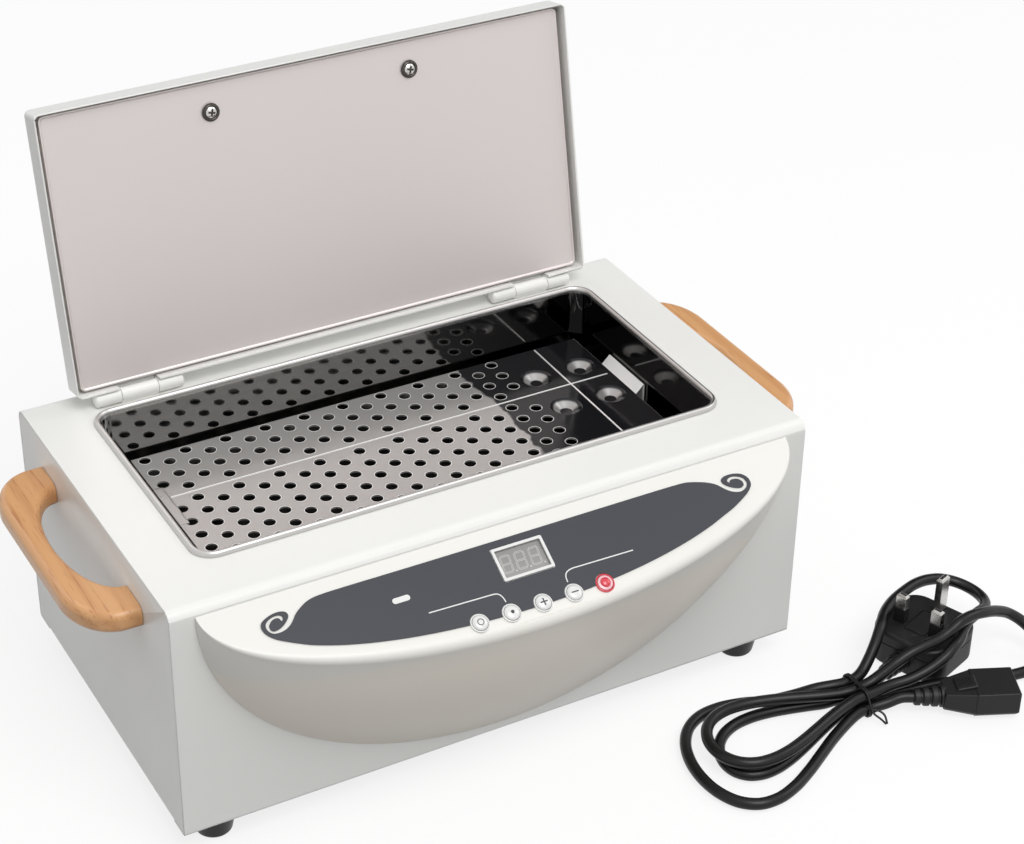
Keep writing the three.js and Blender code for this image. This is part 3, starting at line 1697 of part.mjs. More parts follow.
place(lid, "lid_shell", geometryOf(makeLidShell()), whitePaint());
place(lid, "lid_liner", geometryOf(makeLidLiner()), polishedSteel());
place(lid, "lid_insulation", geometryOf(makeLidInsulation()), glassWool());
[-1, 1].forEach((side) => {
  const name = side < 0 ? "left" : "right";
  const screw = makeLidScrew().translate(side * lidScrewSpread, lidFront + lidScrewInset, 0);
  place(lid, `lid_screw_${name}`, screw, plainSteel());
  place(lid, `lid_hinge_${name}`, geometryOf(makeLidHinge(side)), whitePaint());
  place(appliance, `case_hinge_${name}`, geometryOf(makeCaseHinge(side)), whitePaint());
  place(appliance, `hinge_pin_${name}`, makeHingePin(side), plainSteel());
  place(appliance, `handle_${name}`, geometryOf(makeHandle(side)), beechWood());
  handlePlaces().forEach((y, i) => {
    const end = i === 0 ? "front" : "back";
    place(appliance, `handle_bolt_${name}_${end}`, makeHandleBolt(side, y), plainSteel());
  });
});
appliance.add(lid);

place(appliance, "fascia", geometryOf(makeFascia()), creamPlastic());
place(appliance, "label", geometryOf(makeLabel()), slateFilm());
place(appliance, "display_bezel", geometryOf(makeBezel()), creamPlastic());
place(appliance, "display_module", geometryOf(makeDisplayModule()), greyWindow());
place(appliance, "control_board", geometryOf(makeBoard()), boardGreen());
buttonPlaces().forEach(([x, y], i) => {
  const name = ["menu", "temperature", "plus", "minus", "reset"][i];
  const cap = makeButton().translate(x, y, 0).applyMatrix4(faceFrame);
  place(appliance, `button_${name}`, cap, name === "reset" ? redPlastic() : creamPlastic());
});

place(appliance, "mains_inlet", geometryOf(makeInlet()), blackPlastic());
place(appliance, "switch_housing", geometryOf(makeRockerHousing()), blackPlastic());
const rocker = place(appliance, "switch_rocker", makeRocker(), blackPlastic());
rocker.position.set(rockerCentreX, backY + seatGap + rockerFrame, inletZ());
rocker.rotation.x = rockerTilt;

const mainsLead = new THREE.Group();
sterilizer.add(mainsLead);
const cordCurve = leadCurve();
const cordLength = cordCurve.getLength();
console.log(`cord ${cordLength.toFixed(0)} mm, least gap to itself ${leastGap(cordCurve).toFixed(2)} mm`);
place(mainsLead, "mains_cord", makeCord(cordCurve), blackRubber());
place(mainsLead, "cord_connector", geometryOf(makeConnector()), blackPlastic());
place(mainsLead, "plug_body", geometryOf(makePlugBody()), blackPlastic());
for (const [name, outline] of Object.entries(pinOutlines())) {
  place(mainsLead, `plug_pin_${name}`, geometryOf(makePin(outline)), brass());
}
place(mainsLead, "cord_tie", makeTie(), blackPlastic());

// The origin lies under the middle of the appliance, from the fascia's nose to the open lid's top edge
const footprint = new THREE.Box3().setFromObject(appliance, true);
appliance.position.y = -(footprint.min.y + footprint.max.y) / 2;

mainsLead.position.y = appliance.position.y;

export default sterilizer;
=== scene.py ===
"""Dry heat sterilizer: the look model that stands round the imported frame, laid out as an add-on."""

import json
import math

import bpy
from bpy.props import FloatProperty, FloatVectorProperty, IntProperty, PointerProperty
from bpy.types import Operator, Panel, PropertyGroup
from mathutils import Matrix, Vector


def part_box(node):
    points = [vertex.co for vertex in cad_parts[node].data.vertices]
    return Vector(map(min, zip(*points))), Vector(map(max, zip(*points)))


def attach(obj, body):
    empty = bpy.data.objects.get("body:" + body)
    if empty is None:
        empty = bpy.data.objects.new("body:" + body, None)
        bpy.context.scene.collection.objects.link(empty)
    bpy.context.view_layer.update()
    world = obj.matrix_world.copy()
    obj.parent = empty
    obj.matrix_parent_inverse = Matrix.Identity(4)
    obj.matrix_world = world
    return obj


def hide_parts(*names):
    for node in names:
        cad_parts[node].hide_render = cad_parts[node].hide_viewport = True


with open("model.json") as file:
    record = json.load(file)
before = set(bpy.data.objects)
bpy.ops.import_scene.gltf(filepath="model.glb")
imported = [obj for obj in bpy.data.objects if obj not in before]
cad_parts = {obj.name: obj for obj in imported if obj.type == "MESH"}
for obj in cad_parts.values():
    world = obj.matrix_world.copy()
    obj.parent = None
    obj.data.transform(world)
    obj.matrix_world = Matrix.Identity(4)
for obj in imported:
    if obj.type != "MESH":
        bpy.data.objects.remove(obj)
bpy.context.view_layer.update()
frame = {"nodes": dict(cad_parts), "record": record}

bl_info = {
    "name": "Dry Heat Sterilizer",
    "version": (1, 0, 0),
    "blender": (4, 5, 0),
    "location": "View3D > Sidebar > Sterilizer",
    "description": "Bench-top heated tank with a hinged lid, perforated tray and mains lead",
    "category": "Object",
}

MM = 0.001
NODES = frame["nodes"]
CASE_LOW, CASE_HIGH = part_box("outer_casing")
SHIFT = (CASE_LOW.y + CASE_HIGH.y) / 2 / MM  # from the casing's middle to the frame's origin
FRONT_Y = CASE_LOW.y / MM
TOP_Z = CASE_HIGH.z / MM
GAP = 0.3  # between pieces that rest against each other
SLOPE = math.radians(30)  # of the control face
FACE_TOP = TOP_Z - 4.8
LID_OPEN = 101.5  # degrees from closed
UPRIGHT = Matrix(((0, 0, 1, 0), (1, 0, 0, 0), (0, 1, 0, 0), (0, 0, 0, 1)))  # x and y turned to y and z
SIDEWAYS = Matrix(((1, 0, 0, 0), (0, 0, -1, 0), (0, 1, 0, 0), (0, 0, 0, 1)))  # y turned to z


# Numbers and places


def linear(red, green, blue):
    """A colour as a picture shows it, 0 to 255, turned into light."""
    shares = [value / 255 for value in (red, green, blue)]
    return [s / 12.92 if s <= 0.04045 else ((s + 0.055) / 1.055) ** 2.4 for s in shares]


def metres(points):
    """Points in millimetres, drawn about the casing's middle, put in the frame."""
    return [Vector((x, y + SHIFT, z)) * MM for x, y, z in points]


def near(base, *steps):
    """Places in metres, some millimetres from a base that is in millimetres."""
    return [(base + step) * MM for step in steps]


def moved(x=0, y=0, z=0):
    """A move in millimetres."""
    return Matrix.Translation(Vector((x, y, z)) * MM)


def at(x, y, z=0, angle=0):
    """A place in millimetres, drawn about the casing's middle and turned about z."""
    return moved(x, y + SHIFT, z) @ Matrix.Rotation(math.radians(angle), 4, "Z")


def on_face(x=0, y=0, z=0):
    """A place on the control face in millimetres: x along it, y up the slope, z out of it."""
    return moved(0, FRONT_Y - GAP, FACE_TOP) @ Matrix.Rotation(SLOPE, 4, "X") @ moved(x, y, z)


def lid_matrix():
    """The open lid's own frame: drawn closed about its hinge axis."""
    low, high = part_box("hinge_pin_left")
    axis = Vector((0, (low.y + high.y) / 2, (low.z + high.z) / 2))
    return Matrix.Translation(axis) @ Matrix.Rotation(math.radians(-LID_OPEN), 4, "X")


def arc(centre, radii, start, end, steps):
    """Points on an ellipse, both ends taken in."""
    points = []
    for i in range(steps + 1):
        angle = start + (end - start) * i / steps
        points.append((centre[0] + radii[0] * math.cos(angle), centre[1] + radii[1] * math.sin(angle)))
    return points


def circle(centre, radius, steps):
    """Points round a circle, the first one not repeated."""
    return arc(centre, (radius, radius), 0, 2 * math.pi, steps)[:-1]


def rounded_rectangle(width, height, radius, steps=6, middle=(0, 0)):
    """An outline, anticlockwise."""
    points = []
    for turn, (sx, sy) in enumerate([(1, 1), (-1, 1), (-1, -1), (1, -1)]):
        centre = (middle[0] + sx * (width / 2 - radius), middle[1] + sy * (height / 2 - radius))
        start = turn * math.pi / 2
        points += arc(centre, (radius, radius), start, start + math.pi / 2, steps)
    return points


def smooth_share(value, low, high):
    """0 below low, 1 above high, and a soft step between."""
    share = min(1, max(0, (value - low) / (high - low)))
    return share * share * (3 - 2 * share)


# Sizes and colours that a user would change


class LeadSizes(PropertyGroup):
    """Sizes of the mains lead."""

    diameter: FloatProperty(
        name="Cord diameter", description="Outer diameter of the cord", default=0.0064, unit="LENGTH"
    )
    sides: IntProperty(name="Cord smoothness", description="Steps in a quarter of its round", default=4)


class SheetSizes(PropertyGroup):
    """Sizes of the sheet metal pieces."""

    hole_radius: FloatProperty(
        name="Tray hole radius", description="Radius of each round hole", default=0.0033, unit="LENGTH"
    )
    dimple_depth: FloatProperty(
        name="Dimple depth", description="How deep a dimple is pressed", default=0.0034, unit="LENGTH"
    )
    liner_lip: FloatProperty(
        name="Liner lip",
        description="Rounding of the liner's folded edge",
        default=0.0002,
        unit="LENGTH",
    )


class BodySizes(PropertyGroup):
    """Sizes of the moulded and wooden pieces."""

    fascia_wall: FloatProperty(
        name="Fascia wall", description="Thickness of the moulding", default=0.0024, unit="LENGTH"
    )
    handle_round: FloatProperty(
        name="Handle rounding", description="Radius of the handles' edges", default=0.0044, unit="LENGTH"
    )


def colour(name, description, default):
    """One colour that a user would change."""
    return FloatVectorProperty(
        name=name, description=description, default=default, subtype="COLOR", min=0, max=1
    )


class FinishColours(PropertyGroup):
    """Colours of the finishes."""

    paint: colour("Paint", "Powder coat of the casing and lid", linear(243, 243, 240))
    plastic: colour("Moulding", "Cream moulding of the fascia", linear(237, 236, 231))
    label: colour("Label", "Slate film on the control face", linear(43, 46, 54))
    ink: colour("Ink", "Lines and rings printed on the label", linear(236, 236, 234))
    steel: colour("Steel", "Polished sheet of the tank and tray", (0.66, 0.645, 0.63))
    liner: colour("Liner", "Panel inside the lid", (0.7, 0.645, 0.63))
    wood: colour("Wood", "Pale fibres of the handles", linear(221, 167, 114))
    grain: colour("Grain", "Dark fibres of the handles", linear(188, 126, 78))
    rubber: colour("Rubber", "Cord, plug and feet", linear(21, 21, 22))
    red: colour("Red", "Dome of the reset button", linear(222, 50, 68))


# Shader maths


class Amount:
    """A number inside a material, which Python's operators work on."""

    def __init__(self, finish, socket):
        self.finish = finish
        self.socket = socket

    def _math(self, operation, *values):
        node = self.finish.add("ShaderNodeMath", {"operation": operation}, dict(enumerate(values)))
        return Amount(self.finish, node.outputs[0])

    def __add__(self, other):
        return self._math("ADD", self, other)

    def __sub__(self, other):
        return self._math("SUBTRACT", self, other)

    def __rsub__(self, other):
        return self._math("SUBTRACT", other, self)

    def __mul__(self, other):
        return self._math("MULTIPLY", self, other)

    def sine(self):
        """Its sine, in radians."""
        return self._math("SINE", self)

    def band(self, low, high):
        """0 below low, 1 above high, soft between."""
        node = self.finish.add(
            "ShaderNodeMapRange",
            {"interpolation_type": "SMOOTHSTEP"},
            {"Value": self, "From Min": low, "From Max": high},
        )
        return Amount(self.finish, node.outputs["Result"])

    def between(self, low, full, fading, high):
        """1 from full to fading, 0 below low and above high, soft between."""
        return self.band(low, full) * (1 - self.band(fading, high))

    __radd__ = __add__
    __rmul__ = __mul__


class Nodes:
    """The node tree of a material or a world, emptied first."""

    def __init__(self, owner):
        owner.use_nodes = True
        self.tree = owner.node_tree
        self.tree.nodes.clear()

    def add(self, kind, settings, inputs):
        """Adds a node: its settings first, then the values or links of its sockets."""
        node = self.tree.nodes.new(kind)
        for key, value in settings.items():
            setattr(node, key, value)
        for key, value in inputs.items():
            self.feed(node.inputs[key], value)
        return node

    def feed(self, socket, value):
        """Sets a socket to a value, or links it."""
        if isinstance(value, Amount):
            value = value.socket
        if isinstance(value, bpy.types.NodeSocket):
            self.tree.links.new(value, socket)
        elif socket.type == "RGBA":
            socket.default_value = (*value, 1)
        else:
            socket.default_value = value


class Finish(Nodes):
    """A node material for one finish of the sterilizer."""

    def __init__(self, name, **shader_values):
        self.material = bpy.data.materials.new(name)
        super().__init__(self.material)
        self.shader = self.add("ShaderNodeBsdfPrincipled", {}, {})
        self.add("ShaderNodeOutputMaterial", {}, {"Surface": self.shader.outputs[0]})
        self.set(**shader_values)
        self.place = self.add("ShaderNodeTexCoord", {}, {}).outputs["Object"]

    def set(self, **inputs):
        """Sets or links sockets of the main shader."""
        for key, value in inputs.items():
            self.feed(self.shader.inputs[key.replace("_", " ")], value)
        return self

    def stretched(self, *scale):
        """The piece's own coordinates, stretched."""
        return self.add("ShaderNodeMapping", {}, {"Vector": self.place, "Scale": scale}).outputs[0]

    def axis(self, name):
        """One coordinate, in metres."""
        node = self.add("ShaderNodeSeparateXYZ", {}, {0: self.place})
        return Amount(self, node.outputs[name])

    def noise(self, scale, detail=3, roughness=0.5, vector=None):
        """A cloudy pattern."""
        node = self.add(
            "ShaderNodeTexNoise",
            {},
            {"Vector": vector or self.place, "Scale": scale, "Detail": detail, "Roughness": roughness},
        )
        return Amount(self, node.outputs[0])

    def mix(self, share, first, second):
        """A colour between two."""
        node = self.add("ShaderNodeMix", {"data_type": "RGBA"}, {"Factor": share, 6: first, 7: second})
        return node.outputs[2]

    def coloured(self, share, first, second):
        """Gives the main shader a colour between two."""
        return self.set(Base_Color=self.mix(share, first, second))

    def bump(self, height, strength, distance):
        """Links a bump made from the height, its distance in millimetres."""
        inputs = {"Height": height, "Strength": strength, "Distance": distance * MM}
        return self.set(Normal=self.add("ShaderNodeBump", {}, inputs).outputs[0])


def shade(base, factor):
    """A colour made darker or lighter."""
    return [min(1, value * factor) for value in base]


def powder_coat(name, tint, mottle, darkest, speckle, smoothest, span):
    """White powder coat, a little mottled."""
    paint = Finish(name, Coat_Weight=0.12, Coat_Roughness=0.22, IOR=1.5)
    paint.coloured(paint.noise(mottle, 4), shade(tint.paint, darkest), tint.paint)
    paint.set(Roughness=smoothest + paint.noise(speckle, 3) * span)
    return paint.bump(paint.noise(1500, 2, 0.4), 0.12, 0.05)


def grained(name, cloud, darkest, lightest, gloss, bump=None, grit=None, **shader_values):
    """A finish whose colour follows one noise, and whose gloss and bump follow it or a finer one."""
    made = Finish(name, **shader_values)
    pattern = made.noise(*cloud)
    made.coloured(pattern, darkest, lightest)
    fine = made.noise(*grit) if grit else pattern
    made.set(Roughness=gloss[0] + fine * gloss[1])
    return made.bump(fine, *bump) if bump else made


def tank_finish(tint):
    """Drawn steel: a pale satin rim; mirrored walls whose colour is darkened as a painted dark
    reflection, darkest towards the right end; and a floor painted nearly black as painted shade under
    the tray.
    """
    tank = Finish("drawn_steel", Metallic=1)
    streak = tank.noise(46, 5, 0.6, tank.stretched(1, 1, 9))
    # heat is only a noise: it wavers the edges of the painted floor shade and of the walls' painted dark
    # reflection.
    heat = tank.noise(20, 4, 0.6)
    height = tank.axis("Z")
    # 1 above the floor; below it the floor is painted nearly black, a painted shade under the tray.
    above_shaded_floor = height.band(*near(TANK_FLOOR, 1, 7))
    rim = height.band(*near(TOP_Z, -1.2, 0.4))
    # Painted dark reflection: 1 towards the right end, where the walls are painted darker still.
    wall_dark_reflection = (tank.axis("X") + heat * 0.03).band(0.04, 0.13)
    # The walls' dark colour is itself a painted dark reflection of the surroundings.
    wall = tank.mix(streak, shade(tint.steel, 0.27), shade(tint.steel, 0.37))
    wall = tank.mix(wall_dark_reflection, wall, shade(tint.steel, 0.16))
    floor_painted_shade = tank.mix(heat, (0.012, 0.011, 0.011), (0.03, 0.028, 0.026))
    tank.coloured(above_shaded_floor, floor_painted_shade, tank.mix(rim, wall, shade(tint.steel, 0.84)))
    tank.set(Roughness=0.06 + streak.band(0.35, 0.8) * 0.06 + rim * 0.26 + (1 - above_shaded_floor) * 0.3)
    return tank.bump(tank.noise(13, 2, 0.4), 0.16, 1.6)


def tray_finish(tint):
    """Perforated steel with painted highlights on its hole lips, crease crests and right tab, and a
    painted dark reflection over its right end, where the dimples are painted in shade except for their
    lit back walls.
    """
    tray = Finish("tray_steel")
    brushed = tray.noise(150, 4, 0.6, tray.stretched(0.05, 1, 1))
    smear = tray.noise(17, 4, 0.55)
    along, across, height = [tray.axis(name) for name in "XYZ"]
    flat = height.between(*near(TRAY_TOP, -0.1, -0.04, 0.01, 0.03))
    # Painted highlights: the hole lips, the crease crests and the right tab are painted pale and less
    # metallic.
    lip = height.between(*near(TRAY_TOP, 0.01, 0.03, 0.07, 0.09))
    crest = height.between(*near(TRAY_TOP, 0.2, 0.26, 0.6, 0.8))
    tab = along.band(*near(TRAY_EDGES[1], -0.4, 0.2))
    painted_highlight = (crest + lip + tab).band(0, 1)
    # heated marks the right end, which is painted near black as a painted dark reflection; a noise
    # wavers its edge.
    heated = (along + tray.noise(34, 3, 0.6) * 0.022).band(0.077, 0.079)
    dimpled = along.band(0.0905, 0.0915)
    # Painted light on the dimples: the back wall of each is left lit, and the rest is painted in shade.
    lit_back_wall = across.between(0.018, 0.023, 0.034, 0.036) + across.band(0.0515, 0.0565)
    # 1 on the dimples' flat bottoms, which are painted in shade.
    bottom = 1 - height.band(*near(TRAY_TOP, -3.37, -3.26))
    dimple_shade = (height.band(*near(TRAY_TOP, -1.5, -0.3)) + bottom + (1 - lit_back_wall) * 0.7).band(0, 1)
    sunk = 1 - height.band(*near(TRAY_TOP, -0.02, 0.02))
    # dark is where the painted dark reflection and the dimples' painted shade are laid on.
    dark = heated * (flat + dimpled * dimple_shade * sunk) * (1 - tab)
    plain = tray.mix(smear, shade(tint.steel, 0.6), shade(tint.steel, 0.72))
    tray.coloured(dark, tray.mix(painted_highlight, plain, (0.93, 0.93, 0.92)), (0.022, 0.022, 0.025))
    tray.set(Metallic=0.55 - painted_highlight * 0.35)
    tray.set(Roughness=0.2 + brushed * 0.08 + smear.band(0.5, 0.8) * 0.05 - dark * 0.1)
    return tray.bump(tray.noise(21, 2, 0.4), 0.14, 1.6)


def liner_finish(tint):
    """Brushed steel, nearly matt."""
    liner = Finish("liner_steel", Metallic=0.6)
    bloom = liner.noise(6)
    rub = liner.noise(120, 4, 0.6, liner.stretched(0.05, 1, 1))
    liner.coloured(bloom, shade(tint.liner, 0.97), shade(tint.liner, 1.03))
    return liner.set(Roughness=0.44 + rub * 0.06 + bloom * 0.05).bump(rub, 0.06, 0.05)


def moulding_finish(tint):
    """Cream plastic, painted lighter and warmer on the fascia's belly, a painted light for the light
    that the downward-facing belly lacks.
    """
    plastic = Finish("cream_moulding", Coat_Weight=0.1, Coat_Roughness=0.3, IOR=1.48)
    cloud = plastic.noise(12, 4)
    upper = plastic.mix(cloud, shade(tint.plastic, 0.97), shade(tint.plastic, 1.02))
    # Painted light: the belly is painted lighter and warmer than the slope above it.
    belly_painted_light = plastic.mix(cloud, linear(250, 240, 226), linear(253, 246, 236))
    plastic.coloured(plastic.axis("Z").band(0.098, 0.128), belly_painted_light, upper)
    plastic.set(Roughness=0.33 + plastic.noise(90) * 0.12)
    return plastic.bump(plastic.noise(2200, 2), 0.1, 0.03)


def label_finish(tint):
    """Slate film."""
    slate = Finish("label_film", Coat_Weight=0.06, Coat_Roughness=0.35)
    grain = slate.noise(700)
    share = slate.noise(14) * 0.6 + grain * 0.4
    slate.coloured(share, shade(tint.label, 0.9), shade(tint.label, 1.08))
    return slate.set(Roughness=0.34 + grain * 0.12).bump(grain, 0.1, 0.03)


def window_finish():
    """The display's tinted window, darker towards its top."""
    window = Finish("display_window", Coat_Weight=0.8, Coat_Roughness=0.06)
    cloud = window.noise(60)
    share = window.axis("Z").band(0.126, 0.139) * 0.75 + cloud * 0.25
    window.coloured(share, linear(168, 166, 163), linear(136, 135, 134))
    return window.set(Roughness=0.22 + cloud * 0.12)


def wood_finish(tint):
    """Lacquered beech, its fibres along the handle."""
    wood = Finish("lacquered_beech", Coat_Weight=0.3, Coat_Roughness=0.22, IOR=1.5)
    sway = wood.noise(26, 3, 0.5, wood.stretched(1, 0.09, 1))
    rings = (wood.axis("X") * 620 + wood.axis("Z") * 260 + sway * 16).sine()
    fibre = wood.noise(330, 6, 0.68, wood.stretched(1, 0.05, 1))
    pore = wood.noise(760, 3, 0.5, wood.stretched(1, 0.045, 1)).band(0.56, 0.68)
    share = (rings * 0.5 + 0.5) * 0.3 + fibre * 0.45 + pore * 0.42
    wood.coloured(share.band(0.2, 1.05), tint.wood, tint.grain)
    return wood.set(Roughness=0.34 + fibre * 0.16).bump(fibre * 0.6 + (1 - pore) * 0.4, 0.18, 0.1)


def board_finish():
    """Green lacquer over copper tracks."""
    board = Finish("circuit_board", Coat_Weight=0.3, Coat_Roughness=0.2)
    track = board.noise(160, 2, vector=board.stretched(1, 6, 1)).band(0.45, 0.55)
    board.coloured(track, linear(22, 84, 52), linear(46, 120, 78))
    return board.set(Roughness=0.4 - track * 0.1)


def make_finishes():
    """Every finish of the sterilizer, by name."""
    tint = bpy.context.scene.sterilizer_colours
    made = {
        "paint": powder_coat("powder_coat", tint, 9, 0.965, 60, 0.3, 0.14),
        "lid_paint": powder_coat("powder_coat_lid", tint, 11, 0.95, 70, 0.32, 0.12),
        "tank_steel": tank_finish(tint),
        "tray_steel": tray_finish(tint),
        "liner_steel": liner_finish(tint),
        "plated": grained(
            "plated_steel", (420, 4, 0.6), (0.5, 0.49, 0.47), (0.72, 0.71, 0.69), (0.16, 0.16),
            bump=(0.1, 0.05), Metallic=1,
        ),
        "dark": grained(
            "dark_steel", (420, 4, 0.6), (0.045, 0.04, 0.036), (0.11, 0.1, 0.09), (0.24, 0.16),
            Metallic=1,
        ),
        "plastic": moulding_finish(tint),
        "cap": grained(
            "button_moulding", (240,), linear(222, 223, 222), linear(240, 240, 238), (0.24, 0.1),
            Coat_Weight=0.5, Coat_Roughness=0.12,
        ),
        "film": label_finish(tint),
        "ink": grained("white_ink", (900,), shade(tint.ink, 0.93), tint.ink, (0.45, 0.15), IOR=1.45),
        "mark": grained(
            "grey_ink", (900,), linear(52, 54, 58), linear(74, 76, 80), (0.4, 0.2), IOR=1.45
        ),
        "window": window_finish(),
        "segment": grained(
            "display_segment", (400,), linear(186, 184, 180), linear(214, 212, 208), (0.3, 0.1),
            Coat_Weight=0.4, Coat_Roughness=0.1,
        ),
        "red": grained(
            "red_dome", (300,), shade(tint.red, 0.82), shade(tint.red, 1.12), (0.2, 0.12),
            Coat_Weight=0.7, Coat_Roughness=0.08,
        ),
        "pink": grained(
            "pink_ring", (300,), linear(232, 170, 178), linear(246, 206, 210), (0.24, 0.1),
            Coat_Weight=0.5, Coat_Roughness=0.1,
        ),
        "wood": wood_finish(tint),
        "rubber": grained(
            "matt_rubber", (34, 4), shade(tint.rubber, 0.4), shade(tint.rubber, 0.85), (0.3, 0.08),
            bump=(0.08, 0.03), grit=(900, 4, 0.6), Specular_IOR_Level=0.32,
        ),
        "black": grained(
            "black_moulding", (40,), shade(tint.rubber, 0.8), shade(tint.rubber, 1.3), (0.36, 0.24),
            bump=(0.3, 0.05), grit=(1500, 3, 0.6), Specular_IOR_Level=0.36,
        ),
        "board": board_finish(),
        "wool": grained(
            "glass_wool", (500, 6, 0.7), linear(188, 172, 122), linear(240, 232, 196), (0.8, 0.15),
            bump=(0.9, 0.6), IOR=1.4,
        ),
    }
    return {name: finish.material for name, finish in made.items()}


# Modelling tools


def deselect():
    """Object mode, with nothing selected."""
    if bpy.context.object and bpy.context.object.mode != "OBJECT":
        bpy.ops.object.mode_set(mode="OBJECT")
    bpy.ops.object.select_all(action="DESELECT")


def pick(*pieces):
    """Selects these pieces alone and makes the first the active one."""
    deselect()
    for piece in pieces:
        piece.select_set(True)
    bpy.context.view_layer.objects.active = pieces[0]
    return pieces[0]


def edit(piece, *steps):
    """Runs edit-mode steps on everything in the piece; a step is an operator and its settings."""
    pick(piece)
    bpy.ops.object.mode_set(mode="EDIT")
    bpy.ops.mesh.select_mode(type="VERT")
    bpy.ops.mesh.select_all(action="SELECT")
    for operator, settings in steps:
        operator(**settings)
    bpy.ops.object.mode_set(mode="OBJECT")
    return piece


def heal(piece, distance=0.00001):
    """Merges doubles and turns the faces outwards."""
    return edit(
        piece,
        (bpy.ops.mesh.remove_doubles, {"threshold": distance}),
        (bpy.ops.mesh.normals_make_consistent, {"inside": False}),
    )


def apply(piece, kind, **settings):
    """Adds a modifier and applies it."""
    modifier = piece.modifiers.new(kind.title(), kind)
    for key, value in settings.items():
        setattr(modifier, key, value)
    pick(piece)
    bpy.ops.object.modifier_apply(modifier=modifier.name)
    return piece


def from_mesh(name, points, edges, faces):
    """A new piece from points in metres."""
    mesh = bpy.data.meshes.new(name)
    mesh.from_pydata([tuple(point) for point in points], edges, faces)
    piece = bpy.data.objects.new(name, mesh)
    bpy.context.collection.objects.link(piece)
    return pick(piece)


def bevel(piece, width, segments, angle):
    """Rounds the edges that turn by more than an angle, by a width in millimetres."""
    return apply(
        piece, "BEVEL", width=width * MM, segments=segments, limit_method="ANGLE", angle_limit=angle
    )


def box_piece(low, high, matrix=Matrix.Identity(4)):
    """A cube drawn between two corners in millimetres."""
    deselect()
    low, high = Vector(low), Vector(high)
    bpy.ops.mesh.primitive_cube_add(size=1)
    piece = bpy.context.object
    size = (high - low) * MM
    piece.data.transform(matrix @ moved(*(low + high) / 2) @ Matrix.Diagonal((*size, 1)))
    return piece


def rod(radius, low, high, matrix):
    """A round rod along z between two heights in millimetres."""
    deselect()
    bpy.ops.mesh.primitive_cylinder_add(vertices=48, radius=radius * MM, depth=(high - low) * MM)
    piece = bpy.context.object
    piece.data.transform(matrix @ moved(z=(low + high) / 2))
    return piece


def turned(profile, matrix=Matrix.Identity(4), steps=48):
    """A piece spun round z from a profile of radius and height in millimetres."""
    points = [(radius * MM, 0, height * MM) for radius, height in profile]
    piece = from_mesh("turned", points, [(i, i + 1) for i in range(len(points) - 1)], [])
    spin = {"steps": steps, "angle": 2 * math.pi, "center": (0, 0, 0), "axis": (0, 0, 1)}
    edit(piece, (bpy.ops.mesh.spin, spin))
    heal(piece).data.transform(matrix)
    return piece


def plate(outline, low, high, matrix=Matrix.Identity(4)):
    """An outline in millimetres, filled and extruded between two heights."""
    points = [(x * MM, y * MM, low * MM) for x, y in outline]
    piece = from_mesh("plate", points, [], [tuple(range(len(points)))])
    lift = {"TRANSFORM_OT_translate": {"value": (0, 0, (high - low) * MM)}}
    edit(
        piece,
        (bpy.ops.mesh.extrude_region_move, lift),
        (bpy.ops.mesh.select_all, {"action": "SELECT"}),
        (bpy.ops.mesh.normals_make_consistent, {"inside": False}),
    )
    piece.data.transform(matrix)
    return piece


def drawn_sheet(name, points, steps, thickness, way=1):
    """A sheet drawn from a flat outline by steps of inset and depth; a way of -1 turns it over."""
    piece = from_mesh(name, points, [], [tuple(range(len(points)))])
    moves = [(bpy.ops.mesh.flip_normals, {})] if way < 0 else []
    for inset, depth in steps:
        if inset < 0.001:
            lift = {"value": (0, 0, way * depth * MM)}
            moves.append((bpy.ops.mesh.extrude_region_move, {"TRANSFORM_OT_translate": lift}))
        else:
            moves.append((bpy.ops.mesh.inset, {"thickness": inset * MM, "depth": depth * MM}))
    edit(piece, *moves)
    return apply(piece, "SOLIDIFY", thickness=thickness * MM, offset=-1, use_even_offset=True)


def film(loops, low, high, matrix=Matrix.Identity(4)):
    """A thin flat piece from closed loops in millimetres; inner loops are holes."""
    curve = bpy.data.curves.new("film", "CURVE")
    curve.dimensions = "2D"
    curve.fill_mode = "BOTH"
    curve.extrude = (high - low) / 2 * MM
    for loop in loops:
        spline = curve.splines.new("POLY")
        spline.points.add(len(loop) - 1)
        for point, (x, y) in zip(spline.points, loop):
            point.co = (x * MM, y * MM, 0, 1)
        spline.use_cyclic_u = True
    piece = bpy.data.objects.new("film", curve)
    bpy.context.collection.objects.link(piece)
    pick(piece)
    bpy.ops.object.convert(target="MESH")
    piece = bpy.context.object
    piece.data.transform(matrix @ moved(z=(low + high) / 2))
    return heal(piece, 0.000002)


def ribbon(line, width):
    """The closed outline of a line of some width, in the same units."""
    left, right = [], []
    for i, point in enumerate(line):
        before = line[max(0, i - 1)]
        after = line[min(len(line) - 1, i + 1)]
        along = Vector((after[0] - before[0], after[1] - before[1])).normalized()
        side = Vector((-along.y, along.x)) * width / 2
        left.append((point[0] + side.x, point[1] + side.y))
        right.append((point[0] - side.x, point[1] - side.y))
    return left + right[::-1]


def copied(piece, matrix):
    """A copy with a mesh of its own, moved by a matrix."""
    twin = bpy.data.objects.new(piece.name, piece.data.copy())
    bpy.context.collection.objects.link(twin)
    twin.data.transform(matrix)
    return twin


def join(*pieces):
    """Joins pieces into the first."""
    first = pick(*pieces)
    bpy.ops.object.join()
    return first


def cut(piece, *tools):
    """Takes the tools' shapes out of the piece."""
    for tool in tools:
        apply(piece, "BOOLEAN", operation="DIFFERENCE", object=tool, solver="EXACT")
        bpy.data.objects.remove(tool)
    return piece


